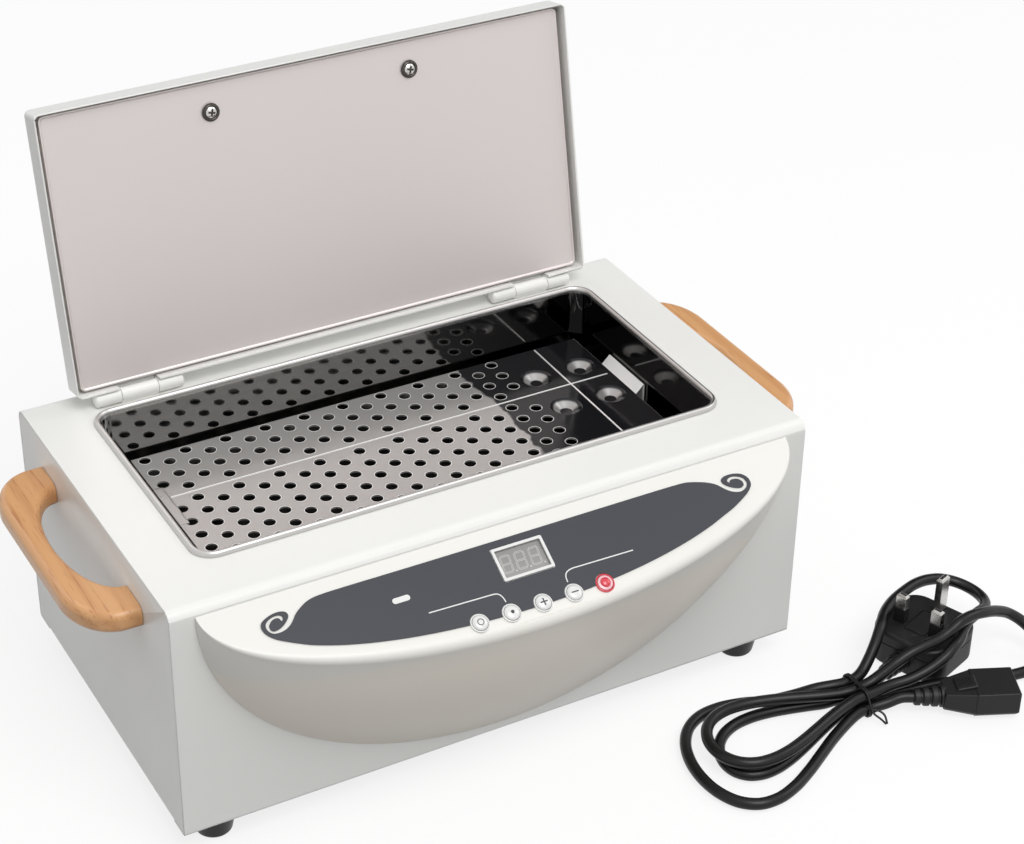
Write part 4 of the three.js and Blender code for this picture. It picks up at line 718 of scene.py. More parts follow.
def finish(piece, name, body, slot, material, *nodes, angle=32, weighted=True):
    """Names, smooths, paints and places a finished piece."""
    piece.name = name
    piece.data.name = name
    pick(piece)
    bpy.ops.object.transform_apply(location=True, rotation=True, scale=True)
    bpy.ops.object.shade_smooth_by_angle(angle=math.radians(angle))
    if weighted:
        apply(piece, "WEIGHTED_NORMAL", keep_sharp=True, weight=80)
    piece.data.materials.clear()
    piece.data.materials.append(FINISHES[material])
    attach(piece, body)
    if nodes:
        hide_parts(*nodes)
    return piece


FINISHES = {}
BODY_OF = {}
SLOT_OF = {}
for body_name, members in frame["record"]["behaviour"]["bodies"].items():
    BODY_OF.update({member: body_name for member in members})
for subpart in frame["record"]["subparts"]:
    SLOT_OF[subpart["node"]] = subpart["material_slot"]


def clothe(node, name, material, angle=32):
    """A smoothed copy of a CAD node, its loose triangles merged, in its finished material."""
    piece = copied(NODES[node], Matrix.Identity(4))
    edit(piece, (bpy.ops.mesh.remove_doubles, {"threshold": 0.000002}))
    return finish(piece, name, BODY_OF[node], SLOT_OF[node], material, node, angle=angle)


# Mains lead

CORD_DIAMETER = 6.4
STRAND_PITCH = 7.2
REST = 3.5
TIED = 5.2
UPPER = TIED + STRAND_PITCH * math.sin(math.pi / 3)
OVER = REST + STRAND_PITCH + GAP
WAIST = (187, -160)
WAIST_HALF = 3
LOBE_STEPS = 24
CONNECTOR_NECK = (226.4, -183.8)
CONNECTOR_TURN = -24
CONNECTOR_Z = 8.8
PLUG_MIDDLE = (239.7, -142.7)
PLUG_TURN = 20.6
PLUG_CORD_Z = 9
RELIEF = 15.5
PLUG_TAIL = RELIEF * 2  # the relief and the short end of the body
STRANDS = {
    "connector_lead": (-1.5 * STRAND_PITCH, TIED),
    "over_front": (-STRAND_PITCH, UPPER),
    "under_middle": (-STRAND_PITCH / 2, TIED),
    "over_middle": (0, UPPER),
    "plug_lead": (STRAND_PITCH / 2, TIED),
    "over_back": (STRAND_PITCH, UPPER),
}
OVER_PLUG = [
    (196.5, -151, 12.5), (203.5, -147.5, 16.6), (211.5, -142.3, 22), (219, -136, 25.8),
    (228, -127.4, 26.1), (239, -120.2, 25.9), (251, -115.3, 25.8), (260, -112.9, 25.8),
    (268.5, -112.2, 25.2), (277.7, -113.7, 23.8), (285.9, -119.3, 21.8), (290.2, -128.1, 20.6),
    (289.3, -138, 20.9), (283.2, -145.6, 22.8), (274.6, -150.2, 25.3), (265, -154.4, 25.9),
    (257.3, -159.4, 25.8), (251.5, -164.3, 25.2), (245.2, -167.8, 24.4), (237, -170.1, 21.4),
    (227.5, -170, 17), (216, -168.9, 13.6), (204, -167, 12.2),
]
BEFORE_PLUG = [
    (197, -160.1, 12.9), (205, -160.6, 17.2), (213, -161.2, 21.8), (221, -161.6, 25),
    (230, -161.8, 26.6), (239.3, -161.7, 27.7), (247.5, -160.9, 30.2), (255.3, -159.8, 32.9),
    (264, -158.6, 33), (273.3, -157.4, 30.9), (283.4, -155.4, 26.8), (293, -154.8, 21.6),
    (299.5, -158.7, 16.8), (302.8, -165.7, 12.4), (302.1, -173.4, 8.3), (297.6, -179.8, 5.2),
    (290.6, -183.1, 3.7), (279, -182.8, 3.5), (267, -179.6, 3.5), (254, -175.2, 3.5),
    (241, -171.2, 3.5), (229, -168.2, 3.5), (217, -165.9, 3.5), (204, -164.3, 4.3),
]


def through_tie(name, way):
    """A strand's two points in the tie, to the right or left of its middle first."""
    offset, height = STRANDS[name]
    return [(WAIST[0] + side * WAIST_HALF, WAIST[1] + offset, height) for side in (way, -way)]


def lobe(front, back, reach, half_width, lean, level):
    """One left-hand loop: out along the front strand and home along the back one."""
    points = []
    for i in range(1, LOBE_STEPS):
        share = i / LOBE_STEPS
        out = math.sin(math.pi * share) ** 2
        spread = 1.54 * math.sin(2 * math.pi * share) * out  # 1 at its widest
        offset, height = STRANDS[front if share < 0.5 else back]
        fall = abs(height - level)
        settle = smooth_share(out * reach, fall, fall * 4.3 + CORD_DIAMETER)
        x = WAIST[0] - WAIST_HALF - reach * out
        y = WAIST[1] + offset * (1 - out) - half_width * spread + lean * out**2
        points.append((x, y, height + (level - height) * settle))
    return points


def behind(place, angle, distance, height):
    """A point on the line along which the cord leaves a piece of the lead."""
    angle = math.radians(angle)
    return (place[0] - math.cos(angle) * distance, place[1] - math.sin(angle) * distance, height)


def lead_route():
    """The points that the cord runs through, from the connector to the plug."""
    straight = (GAP, GAP + CORD_DIAMETER)
    start = [behind(CONNECTOR_NECK, CONNECTOR_TURN, RELIEF + step, CONNECTOR_Z) for step in straight]
    end = [behind(PLUG_MIDDLE, PLUG_TURN, PLUG_TAIL + step, PLUG_CORD_Z) for step in straight[::-1]]
    return [
        *start,
        (198, -172.5, 6.3),
        *through_tie("connector_lead", 1),
        *lobe("connector_lead", "over_back", 105, 35, -16, REST),
        *through_tie("over_back", -1),
        *OVER_PLUG,
        *through_tie("over_front", 1),
        *lobe("over_front", "over_middle", 92, 21.5, -6, OVER),
        *through_tie("over_middle", -1),
        *BEFORE_PLUG,
        *through_tie("under_middle", 1),
        *lobe("under_middle", "plug_lead", 88, 19, -12, REST),
        *through_tie("plug_lead", -1),
        (197.3, -156.9, 6.4),
        *end,
    ]


def smooth_line(points, steps):
    """A centripetal curve through the points."""
    ends = [points[0] * 2 - points[1], *points, points[-1] * 2 - points[-2]]
    line = []
    for i in range(1, len(ends) - 2):
        a, b, c, d = ends[i - 1 : i + 3]
        t0 = 0
        t1 = t0 + (b - a).length ** 0.5
        t2 = t1 + (c - b).length ** 0.5
        t3 = t2 + (d - c).length ** 0.5
        for k in range(steps):
            t = t1 + (t2 - t1) * k / steps
            ab = a.lerp(b, (t - t0) / (t1 - t0))
            bc = b.lerp(c, (t - t1) / (t2 - t1))
            cd = c.lerp(d, (t - t2) / (t3 - t2))
            abc = ab.lerp(bc, (t - t0) / (t2 - t0))
            bcd = bc.lerp(cd, (t - t1) / (t3 - t1))
            line.append(abc.lerp(bcd, (t - t1) / (t2 - t1)))
    return line + [points[-1]]


def tube(name, line, radius, sides=4):
    """A round tube along a line of points in metres, as one open curve."""
    curve = bpy.data.curves.new(name, "CURVE")
    curve.dimensions = "3D"
    spline = curve.splines.new("POLY")
    spline.points.add(len(line) - 1)
    for point, place in zip(spline.points, line):
        point.co = (*place, 1)
    curve.bevel_depth = radius
    curve.bevel_resolution = sides
    curve.use_fill_caps = True
    piece = bpy.data.objects.new(name, curve)
    bpy.context.collection.objects.link(piece)
    return piece


class STERILIZER_OT_camera(Operator):
    """Makes the camera at the photograph's viewing angle"""

    bl_idname = "sterilizer.camera"
    bl_label = "Camera"

    def execute(self, context):
        deselect()
        turn = [math.radians(angle) for angle in (57.538, -0.06, -27.989)]
        bpy.ops.object.camera_add(location=(-0.4941, -0.96078, 0.842), rotation=turn)
        camera = context.object
        camera.name = "photograph_view"
        camera.data.sensor_width = 36
        camera.data.lens = 86.18
        camera.data.shift_x = 0.06
        context.scene.camera = camera
        context.scene.view_settings.view_transform = "Standard"
        return {"FINISHED"}


class STERILIZER_OT_cord(Operator):
    """Makes the cord of the mains lead, in its hank"""

    bl_idname = "sterilizer.cord"
    bl_label = "Mains cord"

    def execute(self, context):
        sizes = context.scene.sterilizer_lead
        line = smooth_line(metres(lead_route()), 8)
        piece = tube("mains_lead_cord", line, sizes.diameter / 2, sizes.sides)
        piece.data.materials.append(FINISHES["rubber"])
        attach(piece, "root")
        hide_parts("mains_cord")
        return {"FINISHED"}


def relief_piece(matrix, tail_radius, neck_radius, neck):
    """A strain relief of three blunt rings, from its tail to the body that it grows out of."""
    profile = [(0, -RELIEF)]
    rings = 3
    pitch = (RELIEF - 1.4) / rings
    for ring in range(rings):
        radius = tail_radius + (neck_radius - tail_radius) * ring / rings
        start = -RELIEF + ring * pitch
        profile += [
            (radius - 0.5, start), (radius, start + 0.5), (radius + 0.15, start + 0.64 * pitch),
            (radius - 0.35, start + 0.72 * pitch), (radius * 0.76, start + 0.72 * pitch),
            (radius * 0.78, start + pitch),
        ]
    profile += [(neck_radius, -1.2), (neck_radius, neck), (0, neck)]
    return turned(profile, matrix @ Matrix.Rotation(math.pi / 2, 4, "Y"), steps=40)


class STERILIZER_OT_connector(Operator):
    """Makes the connector that goes into the sterilizer's inlet"""

    bl_idname = "sterilizer.connector"
    bl_label = "Connector"

    def execute(self, context):
        width, thick, length, chamfer, waist = 24, 17, 40, 4, 16
        half, deep = width / 2, thick / 2
        outline = [
            (-half, deep), (-half, -deep + chamfer), (-half + chamfer, -deep),
            (half - chamfer, -deep), (half, -deep + chamfer), (half, deep),
        ]
        nose = plate(outline, waist, length, UPRIGHT)
        grip = plate([(x * 0.97, y * 0.97) for x, y in outline], 0, waist + 0.4, UPRIGHT)
        for vertex in grip.data.vertices:
            if vertex.co.x < MM:
                vertex.co.y *= 0.62
                vertex.co.z *= 0.7
        pad_side = [(4, 3), (7, deep - 0.4), (17.4, deep + 1.5), (18.4, deep - 0.6), (17, 3)]
        pad = plate(pad_side, -5.6, 5.6, SIDEWAYS)
        for part in (nose, grip, pad):
            bevel(part, 0.9, 3, 0.4)
        ridges = []
        for step in range(7):
            x = 8.2 + step * 1.15
            top = deep - 0.4 + (x - 7) * 1.9 / 10.4  # the pad's height there
            ridges.append(box_piece((x, -3.6, top - 0.4), (x + 0.5, 3.6, top + 0.35)))
        ribs = bevel(join(*ridges), 0.15, 1, 0.5)
        slots = []
        for y, z in ((-7, -2), (0, 2), (7, -2)):
            slots.append(box_piece((length - 18, y - 1.3, z - 2.3), (length + 2, y + 1.3, z + 2.3)))
        cut(nose, *slots)
        body = join(nose, grip, pad, ribs, relief_piece(Matrix.Identity(4), 4.6, 6.2, 2))
        body.data.transform(at(*CONNECTOR_NECK, CONNECTOR_Z, CONNECTOR_TURN))
        finish(body, "lead_connector", "root", "black_plastic", "black", "cord_connector")
        return {"FINISHED"}


def plug_matrix():
    """The plug's own frame: x along it, its pins upwards."""
    return at(*PLUG_MIDDLE, 0, PLUG_TURN)


PINS = {
    "line": ((0, 11.1), (3.98, 6.35), 17.7),
    "neutral": ((0, -11.1), (3.98, 6.35), 17.7),
    "earth": ((22.2, 0), (7.95, 3.98), 22.7),
}
PLUG_HEIGHT = 22
SLEEVE = 9.2


def tapered_pin(middle, size, low, high, tip):
    """A square pin whose tip is drawn in on its four sides."""
    wide, deep = size[0] / 2, size[1] / 2
    pin = pick(box_piece((-wide, -deep, low), (wide, deep, high - tip)))
    bpy.ops.object.mode_set(mode="EDIT")
    bpy.ops.mesh.select_mode(type="FACE")
    bpy.ops.mesh.select_all(action="DESELECT")
    bpy.ops.object.mode_set(mode="OBJECT")
    for face in pin.data.polygons:
        face.select = face.normal.z > 0.9
    bpy.ops.object.mode_set(mode="EDIT")
    bpy.ops.mesh.inset(thickness=tip * 0.7 * MM, depth=tip * MM)
    bpy.ops.object.mode_set(mode="OBJECT")
    bevel(pin, 0.25, 2, 0.4)
    pin.data.transform(plug_matrix() @ moved(*middle))
    return pin


class STERILIZER_OT_plug(Operator):
    """Makes the three-pin plug, which lies on its back with its pins up"""

    bl_idname = "sterilizer.plug"
    bl_label = "Plug"

    def execute(self, context):
        long, wide, middle = 45, 46, (7, 0)
        body = plate(rounded_rectangle(long, wide, 12, 9, middle), GAP, PLUG_HEIGHT)
        bevel(body, 2.2, 4, 0.8)
        cover = [
            rounded_rectangle(22, 13.4, 2, 5, (6, 0)),
            rounded_rectangle(20.8, 12.2, 1.4, 5, (6, 0)),
        ]
        round_body = [
            rounded_rectangle(60, 60, 12, 9, middle),
            rounded_rectangle(long - 0.9, wide - 0.9, 11.6, 9, middle),
        ]
        cut(body, film(cover, PLUG_HEIGHT - 0.7, PLUG_HEIGHT + 1), film(round_body, 14.4, 15))
        screw = turned([(0, -1), (3.3, -1), (3.3, 0.35), (3, 0.55), (0, 0.55)], steps=32)
        cut(screw, box_piece((-0.5, -4, 0.1), (0.5, 4, 2)))
        screw.data.transform(moved(-4.6, 0, PLUG_HEIGHT - 0.4))
        relief = relief_piece(moved(-RELIEF, 0, PLUG_CORD_Z), 4.4, 6, 6)
        plug = join(body, screw, relief)
        plug.data.transform(plug_matrix())
        finish(plug, "lead_plug", "root", "black_plastic", "black", "plug_body")
        for name, (spot, size, length) in PINS.items():
            top = PLUG_HEIGHT + length
            pin = tapered_pin(spot, size, PLUG_HEIGHT - 2, top, 1.3)
            finish(pin, f"lead_pin_{name}", "root", "plug_brass", "plated", f"plug_pin_{name}")
            collar_size = [side + 0.5 for side in size]
            sleeve_top = PLUG_HEIGHT + (SLEEVE if name != "earth" else 1)
            sleeve = tapered_pin(spot, collar_size, PLUG_HEIGHT - 1, sleeve_top, 0.3)
            finish(sleeve, f"lead_sleeve_{name}", "root", "black_plastic", "black")
        return {"FINISHED"}


def belt(centres, radius, steps=8):
    """A closed line drawn tight round circles whose centres run anticlockwise."""
    points = []
    for i, centre in enumerate(centres):
        before, after = centres[i - 1], centres[(i + 1) % len(centres)]
        start = math.atan2(centre[1] - before[1], centre[0] - before[0]) - math.pi / 2
        end = math.atan2(after[1] - centre[1], after[0] - centre[0]) - math.pi / 2
        if end < start:
            end += 2 * math.pi
        points += arc(centre, (radius, radius), start, end, steps)
    return points


class STERILIZER_OT_tie(Operator):
    bl_idname = "sterilizer.tie"
    bl_label = "Cord tie"

    def execute(self, context):
        centres = [STRANDS[name] for name in ("connector_lead", "plug_lead", "over_back", "over_front")]
        wire = 0.6
        loop = belt(centres, CORD_DIAMETER / 2 + wire + 0.1)
        turns = 2
        coil = []
        for turn in range(turns):
            for i, (y, z) in enumerate(loop):
                x = WAIST[0] - 1.2 + 2.4 * (turn + i / len(loop)) / turns
                coil.append((x, WAIST[1] + y, z))
        parts = [tube("tie_coil", smooth_line(metres(coil), 2), wire * MM, 3)]
        knot = Vector((WAIST[0] + 0.6, WAIST[1] + STRANDS["connector_lead"][0] - 3.2, TIED + 1))
        tails = [
            [(-1.4, 1.2, 1.2), (0.4, -1, 1.1), (2.6, -2.6, 0.8), (4.6, -5.2, -1), (4.4, -8.6, -4.6)],
            [(1.2, 1.4, 1.4), (-0.6, -0.8, 0.8), (-0.2, -3, -0.4), (2, -5.8, -2.4), (4, -8.2, -4.8)],
            [(-1.2, 0.6, 0.4), (1, 0.2, 1.6), (2.2, -0.6, 0.2), (0.6, -0.9, -1), (-0.8, -0.6, 0.6)],
        ]
        for tail in tails:
            line = [Vector(point) + knot for point in tail]
            parts.append(tube("tie_tail", smooth_line(metres(line), 6), wire * MM, 3))
        pick(*parts)
        bpy.ops.object.convert(target="MESH")
        tie = join(*parts)
        finish(tie, "lead_tie", "root", "black_plastic", "black", "cord_tie")
        on_lead = ["lead_connector", "lead_plug", "lead_tie"]
        on_lead += [f"lead_{kind}_{name}" for kind in ("pin", "sleeve") for name in PINS]
        metres(lead_route()[:1])[0]
        return {"FINISHED"}


# Casing, feet and fittings


class STERILIZER_OT_finishes(Operator):
    """Makes every finish, and gives the CAD pieces that stay their own"""

    bl_idname = "sterilizer.finishes"
    bl_label = "Finishes"

    def execute(self, context):
        FINISHES.update(make_finishes())
        by_slot = {
            "painted_steel": "paint",
            "polished_steel": "tank_steel",
            "plated_steel": "plated",
            "cream_plastic": "plastic",
            "label_film": "film",
            "display_window": "window",
            "red_plastic": "red",
            "board_green": "board",
            "beech_wood": "wood",
            "black_rubber": "rubber",
            "black_plastic": "black",
            "glass_wool": "wool",
            "plug_brass": "plated",
        }
        for name, node in NODES.items():
            for place in node.material_slots:
                place.material = FINISHES[by_slot[SLOT_OF[name]]]
        return {"FINISHED"}


class STERILIZER_OT_casing(Operator):
    """Smooths the casing's wrap, side panels and base pan"""

    bl_idname = "sterilizer.casing"
    bl_label = "Casing"

    def execute(self, context):
        clothe("outer_casing", "casing_wrap", "paint")
        for side in ("left", "right"):
            clothe(f"side_panel_{side}", f"casing_side_{side}", "paint")
        clothe("base_pan", "casing_base", "paint")
        return {"FINISHED"}


class STERILIZER_OT_feet(Operator):
    """Makes the four rubber feet"""

    bl_idname = "sterilizer.feet"
    bl_label = "Feet"

    def execute(self, context):
        profile = [(0, 8), (3.9, 8), (4.2, 7.7), (4.2, 0.2), (4.6, 0), (7.4, 0)]
        profile += arc((7.4, 2.4), (2.4, 2.4), -math.pi / 2, -0.1, 6)
        profile += [(12, 13.6), (12.1, 14.5), (11.6, 14.95), (2.3, 14.95), (2.3, 8), (0, 8)]
        for name in [name for name in NODES if name.startswith("foot_") and "screw" not in name]:
            low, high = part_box(name)
            middle = (low + high) / 2
            foot = turned(profile, Matrix.Translation((middle.x, middle.y, 0)))
            finish(foot, "rubber_" + name, "root", "black_rubber", "rubber", name)
        for name in [name for name in NODES if name.startswith("foot_screw")]:
            clothe(name, "steel_" + name, "plated")
        return {"FINISHED"}


TANK_INSIDE = (295.6, 142)
TANK_MIDDLE = (0, 3)
TANK_RIM = 3.4  # width of the rolled edge
TANK_FLOOR = 112
TANK_FILLET = 6


class STERILIZER_OT_tank(Operator):
    """Makes the drawn tank with its rolled rim"""

    bl_idname = "sterilizer.tank"
    bl_label = "Tank"

    def execute(self, context):
        rim_low, rim_rise = TOP_Z + GAP, 3 - GAP
        long, wide = [size + 2 * TANK_RIM for size in TANK_INSIDE]
        outline = rounded_rectangle(long, wide, 9 + TANK_RIM, 10, TANK_MIDDLE)
        path = []
        for i in range(13):
            a = math.pi * i / 12
            path.append((TANK_RIM / 2 * (1 - math.cos(a)), rim_low + rim_rise * math.sin(a)))
        path += [(TANK_RIM, rim_low - 1), (TANK_RIM, TANK_FLOOR + TANK_FILLET + 2)]
        for i in range(9):
            a = math.pi / 2 * i / 8
            depth = TANK_FILLET * (1 - math.sin(a))
            path.append((TANK_RIM + TANK_FILLET * (1 - math.cos(a)), TANK_FLOOR + depth))
        steps = [(after[0] - point[0], after[1] - point[1]) for point, after in zip(path, path[1:])]
        tank = drawn_sheet("tank", metres([(x, y, rim_low) for x, y in outline]), steps, 0.98)
        finish(tank, "drawn_tank", "root", "polished_steel", "tank_steel", "tank", angle=40)
        return {"FINISHED"}


TRAY_PLATE = 122.4
TRAY_SHEET = 1
TRAY_TOP = TRAY_PLATE + TRAY_SHEET
TRAY_EDGES = (-129.5, 141.6, -60.6, 69.6)  # left, right, front and back
TRAY_FOOT = -10.1  # how far the tabs reach below the plate
CREASE = (115, 27.3)
TAB_ENDS = (1.4, 38)
HOLE_PITCH = (11.7, 12.8)
FIRST_COLUMN = 85.2  # the column of holes nearest the cross crease
HOLE_SIDES = 16
DIMPLE_RIM = 9
DIMPLE_PITCH = (14.2, 16.7)


def tray_holes(radius):
    """The middles of the staggered holes, left of the cross crease."""
    front, back = TRAY_EDGES[2:]
    reach = radius + 0.5
    middles = []
    for column in range(19):
        staggered = column % 2
        for row in range(-12, 13):
            y = CREASE[1] + (row - 0.5 * staggered) * HOLE_PITCH[1]
            on_crease = not staggered and row == 0
            if not on_crease and front + reach < y < back - reach:
                middles.append((FIRST_COLUMN - column * HOLE_PITCH[0], y))
    return middles


class STERILIZER_OT_tray(Operator):
    """Makes the perforated tray with its creases, dimples and folded tabs"""

    bl_idname = "sterilizer.tray"
    bl_label = "Tray"

    def execute(self, context):
        sizes = context.scene.sterilizer_sheet
        radius = sizes.hole_radius / MM
        bottom = TRAY_SHEET - sizes.dimple_depth / MM
        left, right, front, back = TRAY_EDGES
        holes = tray_holes(radius)
        middle = (CREASE[0], CREASE[1] - 2.6)
        dimples = []
        for side in (-DIMPLE_PITCH[0], DIMPLE_PITCH[0]):
            for way in (-DIMPLE_PITCH[1], DIMPLE_PITCH[1]):
                dimples.append((middle[0] + side, middle[1] + way))
        edge, fold = left - 2.4, left + 2.3
        tab_front, tab_back = TAB_ENDS[0] - GAP, TAB_ENDS[1] + GAP
        loops = [[(edge, front), (right, front), (right, back), (edge, back)]]
        loops += [circle(middle, radius, HOLE_SIDES) for middle in holes]
        loops += [circle(middle, DIMPLE_RIM, 48) for middle in dimples]
        sheet = film(loops, 0, TRAY_SHEET)
        edit(sheet, (bpy.ops.mesh.dissolve_degenerate, {"threshold": 0.00002}))
        cut(sheet, box_piece((edge - 1, tab_front, -2), (fold, tab_back, 4)))
        parts = [sheet]
        # A thin ring raised round each hole to the height that the tray finish paints pale: a painted
        # highlight on the holes' lips.
        rings = [circle((0, 0), radius + 0.27, HOLE_SIDES), circle((0, 0), radius - 0.02, HOLE_SIDES)]
        rim = film(rings, TRAY_SHEET - 0.2, TRAY_SHEET + 0.05)
        for x, y in holes:
            if x > fold + radius + 0.5 or not tab_front - radius < y < tab_back + radius:
                parts.append(copied(rim, moved(x, y)))
        bpy.data.objects.remove(rim)
        profile = [
            (DIMPLE_RIM, TRAY_SHEET), (8.5, TRAY_SHEET - 0.1), (7.9, TRAY_SHEET - 0.5),
            (4.3, bottom + 0.5), (3.6, bottom + 0.12), (2.9, bottom), (0, bottom),
        ]
        profile += [(r, z - TRAY_SHEET) for r, z in profile[::-1]]
        parts += [turned(profile, moved(x, y)) for x, y in dimples]
        rib = [(-0.6, 0.6), (0.6, 0.6), (0.6, 1), (0.24, 1.26), (0, 1.34), (-0.24, 1.26), (-0.6, 1)]
        run, cross = (right - left) / 2 - 3, (back - front) / 2 - 1
        parts.append(plate(rib, -run, run, moved((left + right) / 2, CREASE[1]) @ UPRIGHT))
        crosswise = moved(CREASE[0], (front + back) / 2) @ Matrix.Rotation(math.pi / 2, 4, "Z")
        parts.append(plate(rib, -cross, cross, crosswise @ UPRIGHT))
        parts += [self.raised_tab(right), self.turned_down_tab(fold)]
        tray = join(*parts)
        tray.data.transform(at(0, 0, TRAY_PLATE))
        heal(tray, 0.000004)
        finish(tray, "perforated_tray", "tray", "polished_steel", "tray_steel", "tray", angle=36)
        return {"FINISHED"}

    def raised_tab(self, fold):
        """The strip at the right end: up and out from the plate, then down to the tank floor."""
        outer = fold + 5.6
        inner = outer - TRAY_SHEET
        outline = [
            (fold - 1, 0), (fold, 0), (inner, 4.6), (inner, TRAY_FOOT), (outer, TRAY_FOOT),
            (outer, 5.2), (outer - 0.5, 5.6), (inner, 5.6), (fold, 1), (fold - 1, 1),
        ]
        return self.strip(outline)

    def turned_down_tab(self, fold):
        """The strip at the left end: level with the plate, then down to the tank floor."""
        outer = fold - 4.9
        inner = outer + TRAY_SHEET
        outline = [
            (fold + 0.5, 1), (outer + 0.4, 1), (outer, 0.6), (outer, TRAY_FOOT), (inner, TRAY_FOOT),
            (inner, 0), (fold + 0.5, 0),
        ]
        return self.strip(outline)

    def strip(self, outline):
        """A folded strip along the middle of the tray's end."""
        return bevel(plate(outline, -TAB_ENDS[1], -TAB_ENDS[0], SIDEWAYS), 0.2, 2, 0.5)


# Lid

KNUCKLE = 3.84  # radius of the hinges' barrels


class STERILIZER_OT_lid(Operator):
    """Smooths the lid's shell and hinges, and makes its recessed liner and screws"""

    bl_idname = "sterilizer.lid"
    bl_label = "Lid"

    def execute(self, context):
        clothe("lid_shell", "lid_cover", "lid_paint")
        for side in ("left", "right"):
            clothe(f"lid_hinge_{side}", f"lid_knuckles_{side}", "lid_paint")
            clothe(f"case_hinge_{side}", f"casing_knuckle_{side}", "paint")
            clothe(f"hinge_pin_{side}", f"hinge_rod_{side}", "plated")
            self.hinge_ends(side)
        self.liner(context.scene.sterilizer_sheet.liner_lip / MM)
        for side, x in (("left", -58), ("right", 58)):
            self.screw(side, x)
        return {"FINISHED"}

    def liner(self, lip):
        """The panel with its edge folded up into the lid."""
        width, length, middle = 301, 149.4, -81.2
        panel, sheet, fold = 0.1, 0.8, 5
        outline = rounded_rectangle(width, length, 3, 6, (0, middle))
        points = [Vector((x, y, panel + fold)) * MM for x, y in outline]
        steps = [(0, fold - lip)]
        for i in range(6):
            a, b = math.pi / 12 * i, math.pi / 12 * (i + 1)
            steps.append((lip * (math.cos(a) - math.cos(b)), lip * (math.sin(b) - math.sin(a))))
        steps += [(0.5, 0), (0.3, -0.1), (0.4, -0.35), (0.3, -0.1)]
        liner = drawn_sheet("liner", points, steps, sheet, way=-1)
        liner.data.transform(lid_matrix())
        finish(liner, "lid_inner_panel", "lid", "polished_steel", "liner_steel", "lid_liner", angle=40)

    def hinge_ends(self, side):
        """The rounded ends of the lid's two knuckles."""
        low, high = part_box(f"hinge_pin_{side}")
        axis = (low + high) / 2
        rise = 1.7
        cap = [(0, 0), *arc((0, 0), (KNUCKLE, rise), 0, math.pi / 2, 8)[:-1], (0, rise)]
        ends = []
        for x, way in ((low.x, -1), (high.x, 1)):
            outwards = Matrix.Rotation(way * math.pi / 2, 4, "Y")
            ends.append(turned(cap, Matrix.Translation((x, axis.y, axis.z)) @ outwards))
        finish(join(*ends), f"lid_knuckle_ends_{side}", "lid", "painted_steel", "lid_paint", angle=50)

    def screw(self, side, x):
        """A countersunk washer with a cross-head screw in it, and a dark cross laid into the screw's
        head as painted shade.
        """
        over = lid_matrix() @ moved(x, -139.6, -0.2) @ Matrix.Rotation(math.pi, 4, "X")
        turn = over @ Matrix.Rotation(-0.24, 4, "Z")
        washer = [(3.1, 0.1), (3.3, 0.8), (3.7, 1), (4.2, 0.9), (4.7, 0.35), (4.9, 0), (3.1, 0)]
        cup = turned(washer, over)
        finish(cup, f"lid_washer_{side}", "lid", "plated_steel", "dark", angle=50)
        head = [(0, -9), (1.7, -9), (1.7, -0.4), (3.05, 0.1)]
        head += [(3.05, 0.6), (2.3, 1.15), (1.2, 1.44), (0, 1.5)]
        screw = turned(head)
        bars = [box_piece((-2, -0.55, 0.2), (2, 0.55, 3)), box_piece((-0.55, -2, 0.2), (0.55, 2, 3))]
        cut(screw, *bars)
        screw.data.transform(turn)
        # Painted shade: a dark cross at the bottom of the cut cross in the head.
        recess_shade = join(
            box_piece((-2.1, -0.6, 0.1), (2.1, 0.6, 0.42), turn),
            box_piece((-0.6, -2.1, 0.1), (0.6, 2.1, 0.41), turn),
        )
        finish(recess_shade, f"lid_screw_shade_{side}", "lid", "plated_steel", "dark")
        name = f"lid_cross_head_{side}"
        finish(screw, name, "lid", "plated_steel", "plated", f"lid_screw_{side}", angle=50)


# Control face

FASCIA_HALF = 167
FASCIA_REACH = 57
FASCIA_DROP = 126
FASCIA_ROUND = 6.5
FASCIA_BELLY = 5
BUTTONS = ["menu", "temperature", "plus", "minus", "reset"]
BUTTON_DOWN = 46.2
BUTTON_PITCH = 17.6
BUTTON_RADIUS = 4
BEZEL = (-1, -21)
BEZEL_SIZE = (28.6, 18.2)
DIGIT_PITCH = 8
LABEL_TOP = 0.7
LABEL_OPENING = 5.2  # round each button
PRINT_TOP = 0.78
PRINTED_LINES = [
    [
        (-58.7, -33.3), (-25, -34.2), (-23.2, -34.3), (-21.6, -34.7), (-20.6, -35.6), (-19.9, -36.8),
        (-19.5, -38.3), (-19.4, -40),
    ],
    [
        (15.5, -39.9), (15.6, -38.2), (15.9, -36.8), (16.5, -35.6), (17.5, -34.7), (18.9, -34.1),
        (20.4, -33.8), (21.8, -33.7), (55.9, -34.3),
    ],
]


def button_x(index):
    """Where a button stands along the control face."""
    return -1.4 + (index - 2) * BUTTON_PITCH


def fascia_section(reach, drop, rounding, wall_y):
    """The fascia's outline in y and z from its top edge to its foot, in millimetres."""
    slope = Vector((-math.cos(SLOPE), -math.sin(SLOPE)))
    edge = slope * reach
    before = slope * (reach - rounding)
    down = Vector((-edge.x, -drop - edge.y))
    unit = down.normalized()
    after = edge + unit * rounding
    points = [Vector((wall_y, 0))] if wall_y else []
    points += [before * i / 10 for i in range(1 if wall_y else 0, 10)]
    for i in range(13):
        t = i / 12
        points.append(before * (1 - t) ** 2 + edge * 2 * t * (1 - t) + after * t * t)
    foot = Vector((0, -drop))
    for i in range(1, 25):
        t = i / 24
        belly = FASCIA_BELLY * math.sin(math.pi * t)
        points.append(after.lerp(foot, t) - Vector((-unit.y, unit.x)) * belly)
    return points + ([Vector((wall_y, -drop))] if wall_y else [])


